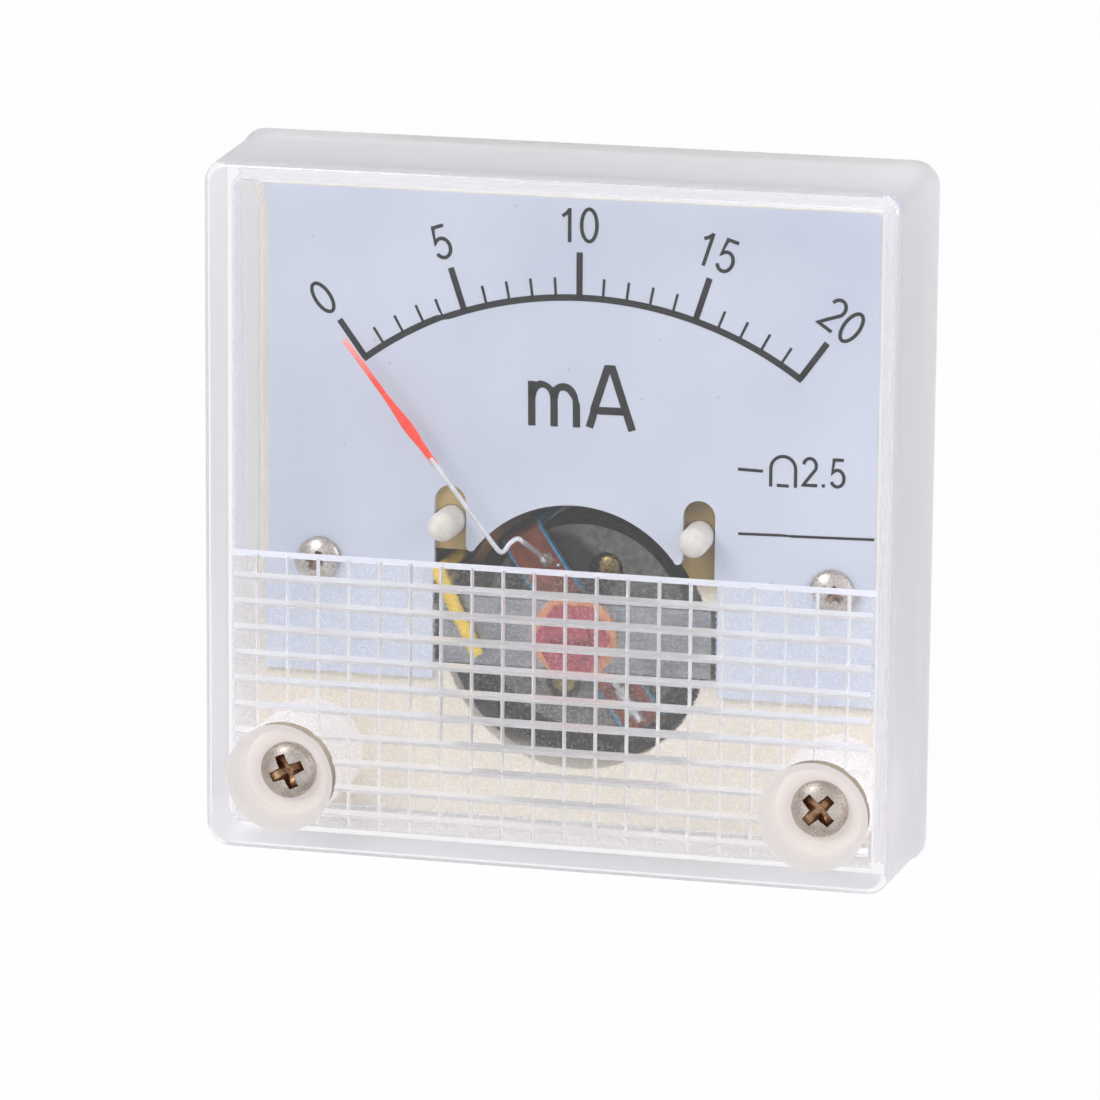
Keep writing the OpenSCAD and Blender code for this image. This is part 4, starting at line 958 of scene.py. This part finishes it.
def make_terminal_studs():
    """Brass studs: a round collar in the base, and a thread behind it"""
    low, high = node_box("terminal_studs")
    x_at = high.x - COLLAR_R
    z = (low.z + high.z) / 2
    for name, s in (("left_terminal_stud", -1), ("right_terminal_stud", 1)):
        x = s * x_at
        profile = [(0.001, low.y), (COLLAR_R - 0.3, low.y), (COLLAR_R, low.y + 0.25),
                   (COLLAR_R, COLLAR_END_Y), (STUD_R, COLLAR_END_Y), (STUD_R, high.y - 0.5), (0.95, high.y)]
        stud = piece(name, *lathe(profile, x, z), brass)
        join(stud, piece("thread", *thread(1.3, 1.5, 16.2, high.y - 0.4, 0.5, x, z), brass))
        round_off(stud, 35)
        stand(stud, "case", "terminal_studs", "terminal_studs")


make_terminal_studs()

# ---------- Moving coil ----------

COIL_R = 7.55
WIRE_R, WIRE_PITCH = 0.06, 0.124
WINDING_W, WIRES = 2.6, 21


def loop_path(half_y, half_r, radius, mid_y, steps=6):
    """A round-cornered oblong loop in y and the radial direction"""
    out = []
    for quarter, (sy, sr) in enumerate([(1, 1), (-1, 1), (-1, -1), (1, -1)]):
        for k in range(steps + 1):
            a = math.radians(90 * quarter + 90 * k / steps)
            out.append((mid_y + sy * (half_y - radius) + radius * math.cos(a),
                        sr * (half_r - radius) + radius * math.sin(a)))
    return out


def make_winding():
    """Two layers of single turns over a filler that stands for the layers beneath"""
    low, high = node_box("coil_winding")
    mid_y = (low.y + high.y) / 2
    half_y = (high.y - low.y) / 2
    layers = []
    for k, sink in enumerate((WIRE_R, 0.17)):
        path = [Vector((0, y, r)) for y, r in loop_path(half_y - sink, COIL_R - sink, 0.6, mid_y)]
        turn = piece("winding_layer", *sweep(path, WIRE_R, 6, closed=True), winding_wire)
        start = -WINDING_W / 2 + WIRE_R * (1 + k)
        layers.append(row(turn, WIRES - k, winding_wire, step=(WIRE_PITCH, 0, 0), centre=(start, 0, 0)))
    side = WINDING_W / 2 - 0.02
    core_loop = [[(x, y, r) for y, r in loop_path(half_y - sink, COIL_R - sink, 0.45, mid_y)]
                 for x, sink in ((-side, 0.38), (-side, 0.1), (side, 0.1), (side, 0.38))]
    filler = piece("winding_core", *loft(core_loop, closed=True), winding_wire)
    winding = join(*layers, filler)
    winding.name = "coil_wire_turns"
    swing(winding, COIL_ANGLE)
    round_off(winding, 50)
    stand(winding, "coil", "coil_winding", "coil_winding")


make_winding()

# ---------- Core rivets and a drop of solder ----------


def make_rivets():
    """Domed rivet heads in the core's counterbores"""
    low, high = node_box("core_rivets")
    radius = 1.0
    profile = [(0.001, low.y - 0.12), (0.35, low.y - 0.1), (0.65, low.y - 0.02), (0.85, low.y + 0.12),
               (radius, low.y + 0.36), (radius, low.y + 0.5), (0.7, low.y + 0.55), (0.7, high.y)]
    for name, s in (("upper_core_rivet", 1), ("lower_core_rivet", -1)):
        x = s * (high.x - radius)
        z = AXIS_Z + s * (high.z - low.z - 2 * radius) / 2
        stand(piece(name, *lathe(profile, x, z, 32), aged_brass), "case", "core_rivets", "core_rivets")


def make_solder_dot():
    """Where the winding's end is soldered, beside the edge tape"""
    low = node_box("coil_winding")[0]
    profile = [(0.001, low.y - 0.16), (0.09, low.y - 0.14), (0.16, low.y - 0.08), (0.19, low.y),
               (0.17, low.y + 0.05)]
    place = around(4.4, COIL_ANGLE - 13.5, 0)
    stand(piece("winding_solder_dot", *lathe(profile, place.x, place.z, 20), tinned), "coil", "coil_winding")


make_rivets()
make_solder_dot()

# ---------- Pointer ----------

POINTER_Y = -3.3
POINTER_WIRE_R = 0.165


def make_pointer():
    """A wire that bends forward from the winding, and a flat lance of lacquered foil on it"""
    bar_y = node_box("coil_winding")[0].y
    bead = 0.3
    bends = [(14.6, 0, POINTER_Y), (11, 0, POINTER_Y), (8, 0, POINTER_Y), (7.25, 0.3, POINTER_Y + 0.05),
             (7.1, 2, POINTER_Y + 0.25), (7.3, 6, POINTER_Y + 0.55), (7.3, 9.5, POINTER_Y + 0.9),
             (6.9, 10.8, POINTER_Y + 1.2), (5.6, 10.2, bar_y - bead - 0.6), (5.05, 10, bar_y - bead - 0.3),
             (5, 10, bar_y - 0.05)]
    path = [around(radius, POINTER_ANGLE - back, y) for radius, back, y in bends]
    wire = piece("bent_pointer_wire", *sweep(smooth_path(path), POINTER_WIRE_R, 12), pointer_metal, 50)
    stand(wire, "coil", "pointer_wire", "pointer_wire")
    widths = [(23.9, 0.24), (23.85, 0.34), (23.2, 0.36), (19.4, 0.38), (18.4, 0.5), (17.4, 0.68), (17.0, 0.7),
              (16.5, 0.66), (15.7, 0.5), (15.0, 0.44), (14.1, 0.42), (14.0, 0.34)]
    rings = []
    for radius, width in widths:
        thick = 0.07 if radius < 15 or radius > 18 else 0.1
        rings.append([Vector((width / 2 * math.cos(a), POINTER_Y + thick * math.sin(a), radius))
                      for a in (2 * math.pi * k / 12 for k in range(12))])
    vane = piece("lance_vane", *loft(rings), vane_lacquer, 50)
    swing(vane, POINTER_ANGLE)
    stand(vane, "coil", "pointer_vane", "pointer_vane")


make_pointer()

# ---------- Leads and resistor ----------

LEAD_R, RED_LEAD_R = 0.44, 0.38
LUG_X = 9.5
RESISTOR_Y, RESISTOR_Z = 11.1, 6.6


def make_leads():
    """Two insulated wires, from the left terminal to the front and the right one to the rear"""
    low, high = node_box("yellow_lead")
    front_y, end_y = low.y + LEAD_R, high.y
    x, z = COIL_R + 1.3, AXIS_Z + 0.64 * CORE_HIGH.x - 0.4
    path = [(x - 2.61, front_y, z - 5.39), (x - 0.3, front_y, z - 0.63), (x, front_y + 0.45, z - 0.1),
            (x, front_y + 0.9, z), (x, 2, z), (x, 5.65, z), (x + 0.45, 6.55, z + 0.9), (9.4, 9.4, 0.4),
            (LUG_X, 10.76, 2.6), (LUG_X, 11.3, 3.4), (LUG_X, end_y, 3.5)]
    path = smooth_path([(-a, b, c) for a, b, c in path], 5)
    yellow = piece("yellow_wire", *sweep(path, LEAD_R, 14), yellow_vinyl, 60)
    stand(yellow, "case", "yellow_lead", "yellow_lead")
    path = [(LUG_X, end_y, 3.5), (LUG_X, 11.3, 3.4), (9.05, 11.12, 2.6), (7.3, 11.25, -0.45),
            (5.64, 11.4, -3.45), (5.34, 11.4, -4.35), (5.34, 11.4, -5.4), (5.34, 11.4, -6.6)]
    red = piece("red_wire", *sweep(smooth_path(path, 5), RED_LEAD_R, 14), red_vinyl, 60)
    stand(red, "case", "red_lead", "red_lead")


def make_resistor():
    """A dipped body, thicker over its end caps, on two wires bent into the terminals"""
    y, z = RESISTOR_Y, RESISTOR_Z
    end_y = node_box("shunt_resistor")[1].y
    flank = [(0.98, 1.7), (1.1, 2.2), (1.08, 2.7), (0.85, 3.1), (0.5, 3.28), (0.001, 3.3)]
    profile = [(r, -x) for r, x in reversed(flank)] + [(0.96, 0)] + flank
    rings = [[(x, y + r * math.cos(a), z + r * math.sin(a))
              for a in (2 * math.pi * k / 24 for k in range(24))] for r, x in profile]
    body = piece("resistor_body", *loft(rings), resistor_lacquer, 60)
    stand(body, "case", "shunt_resistor", "shunt_resistor")
    parts = []
    for s in (-1, 1):
        path = [(s * 3.2, y, z), (s * 8.0, y, z), (s * 9.1, y + 0.05, z), (s * 9.45, y + 0.4, z),
                (s * LUG_X, end_y, z)]
        parts.append(sweep(smooth_path(path, 4), 0.3, 12))
    wires = piece("resistor_wires", *merged(parts), tinned, 60)
    stand(wires, "case", "shunt_resistor")


make_leads()
make_resistor()

# ---------- Finishes of the CAD nodes ----------

FINISHES = {
    "mounting_washers": zinc, "mounting_nuts": zinc, "base_housing": ivory, "dial_plate": dial_enamel,
    "stop_posts": nylon, "yoke_ring": iron, "core_magnet": magnet, "core_carrier": brass,
    "front_bridge": strip, "rear_bridge": strip, "movement_screws": nickel,
    "jewel_screws": burgundy, "jewel_nuts": burgundy, "insulators": fibre, "zero_lever": bronze,
    "spring_anchor": bronze, "front_hairspring": bronze, "rear_hairspring": bronze,
    "coil_former": former_sheet, "coil_edges": tape, "pivot_staffs": polished, "glue_bead": lacquer_bead,
    "balance_wire": pointer_metal, "balance_weights": tinned, "terminal_washers": brass,
    "terminal_nuts": brass, "solder_tags": tinned,
}
for node_name, look in FINISHES.items():
    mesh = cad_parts[node_name].data
    mesh.materials.clear()
    mesh.materials.append(look)

# ---------- Floor and light ----------

FLOOR_SIZE = 3000
FLOOR_SHOWN_WHITE = 0.97    # the rest shows the object's shadow


def seen_by_eye(tree):
    """1 for what the camera sees, by itself or in gloss or clear plastic, and 0 for light"""
    rays = add(tree, "ShaderNodeLightPath").outputs
    mirrored = add(tree, "ShaderNodeMath", {0: rays["Is Camera Ray"], 1: rays["Is Glossy Ray"]},
                   operation="MAXIMUM")
    return add(tree, "ShaderNodeMath", {0: mirrored, 1: rays["Is Transmission Ray"]}, operation="MAXIMUM")


def make_floor():
    """A plain sheet of white paper under the object"""
    material, tree, place = new_material("pale_paper_sweep")
    size, z = FLOOR_SIZE, -REAR_HALF - 0.02
    corners = [(-size, -size, z), (size, -size, z), (size, size, z), (-size, size, z)]
    floor = piece("floor", corners, [(0, 1, 2, 3)], material)
    grain = add(tree, "ShaderNodeTexNoise", {"Vector": place, "Scale": 400.0})
    colour = add(tree, "ShaderNodeValToRGB", {"Fac": grain}, [(0.3, "#F4F4F6"), (0.7, "#FAFAFB")])
    paper = add(tree, "ShaderNodeBsdfDiffuse", {"Color": colour})
    glow = add(tree, "ShaderNodeEmission", {"Color": (1, 1, 1, 1), "Strength": 1.0})
    share = add(tree, "ShaderNodeMath", {0: seen_by_eye(tree), 1: FLOOR_SHOWN_WHITE}, operation="MULTIPLY")
    surface = add(tree, "ShaderNodeMixShader", {0: share, 1: paper, 2: glow})
    add(tree, "ShaderNodeOutputMaterial", {"Surface": surface})


def make_world():
    """Soft light from all sides, which the camera sees as plain white"""
    world = bpy.data.worlds.new("studio")
    bpy.context.scene.world = world
    world.use_nodes = True
    tree = world.node_tree
    tree.nodes.clear()
    soft = add(tree, "ShaderNodeBackground", {"Color": linear("#F6F5F4"), "Strength": 0.31})
    white = add(tree, "ShaderNodeBackground", {"Color": (1, 1, 1, 1), "Strength": 1.0})
    both = add(tree, "ShaderNodeMixShader", {0: seen_by_eye(tree), 1: soft, 2: white})
    add(tree, "ShaderNodeOutputWorld", {"Surface": both})


def lamp(name, place, size, power):
    """A soft box that faces the object: its place and sides in millimetres, its power in watts"""
    data = bpy.data.lights.new(name, "AREA")
    data.shape = "RECTANGLE"
    data.size, data.size_y = size[0] * MM, size[1] * MM
    data.energy = power
    made = bpy.data.objects.new(name, data)
    bpy.context.scene.collection.objects.link(made)
    aim = (-Vector(place)).to_track_quat("-Z", "Y")
    made.matrix_world = Matrix.Translation(Vector(place) * MM) @ aim.to_matrix().to_4x4()


make_floor()
make_world()
lamp("key", (-260, -360, 320), (200, 200), 0.79)
lamp("fill", (420, -220, 160), (260, 260), 0.51)
lamp("back", (60, 330, 300), (260, 200), 0.5)
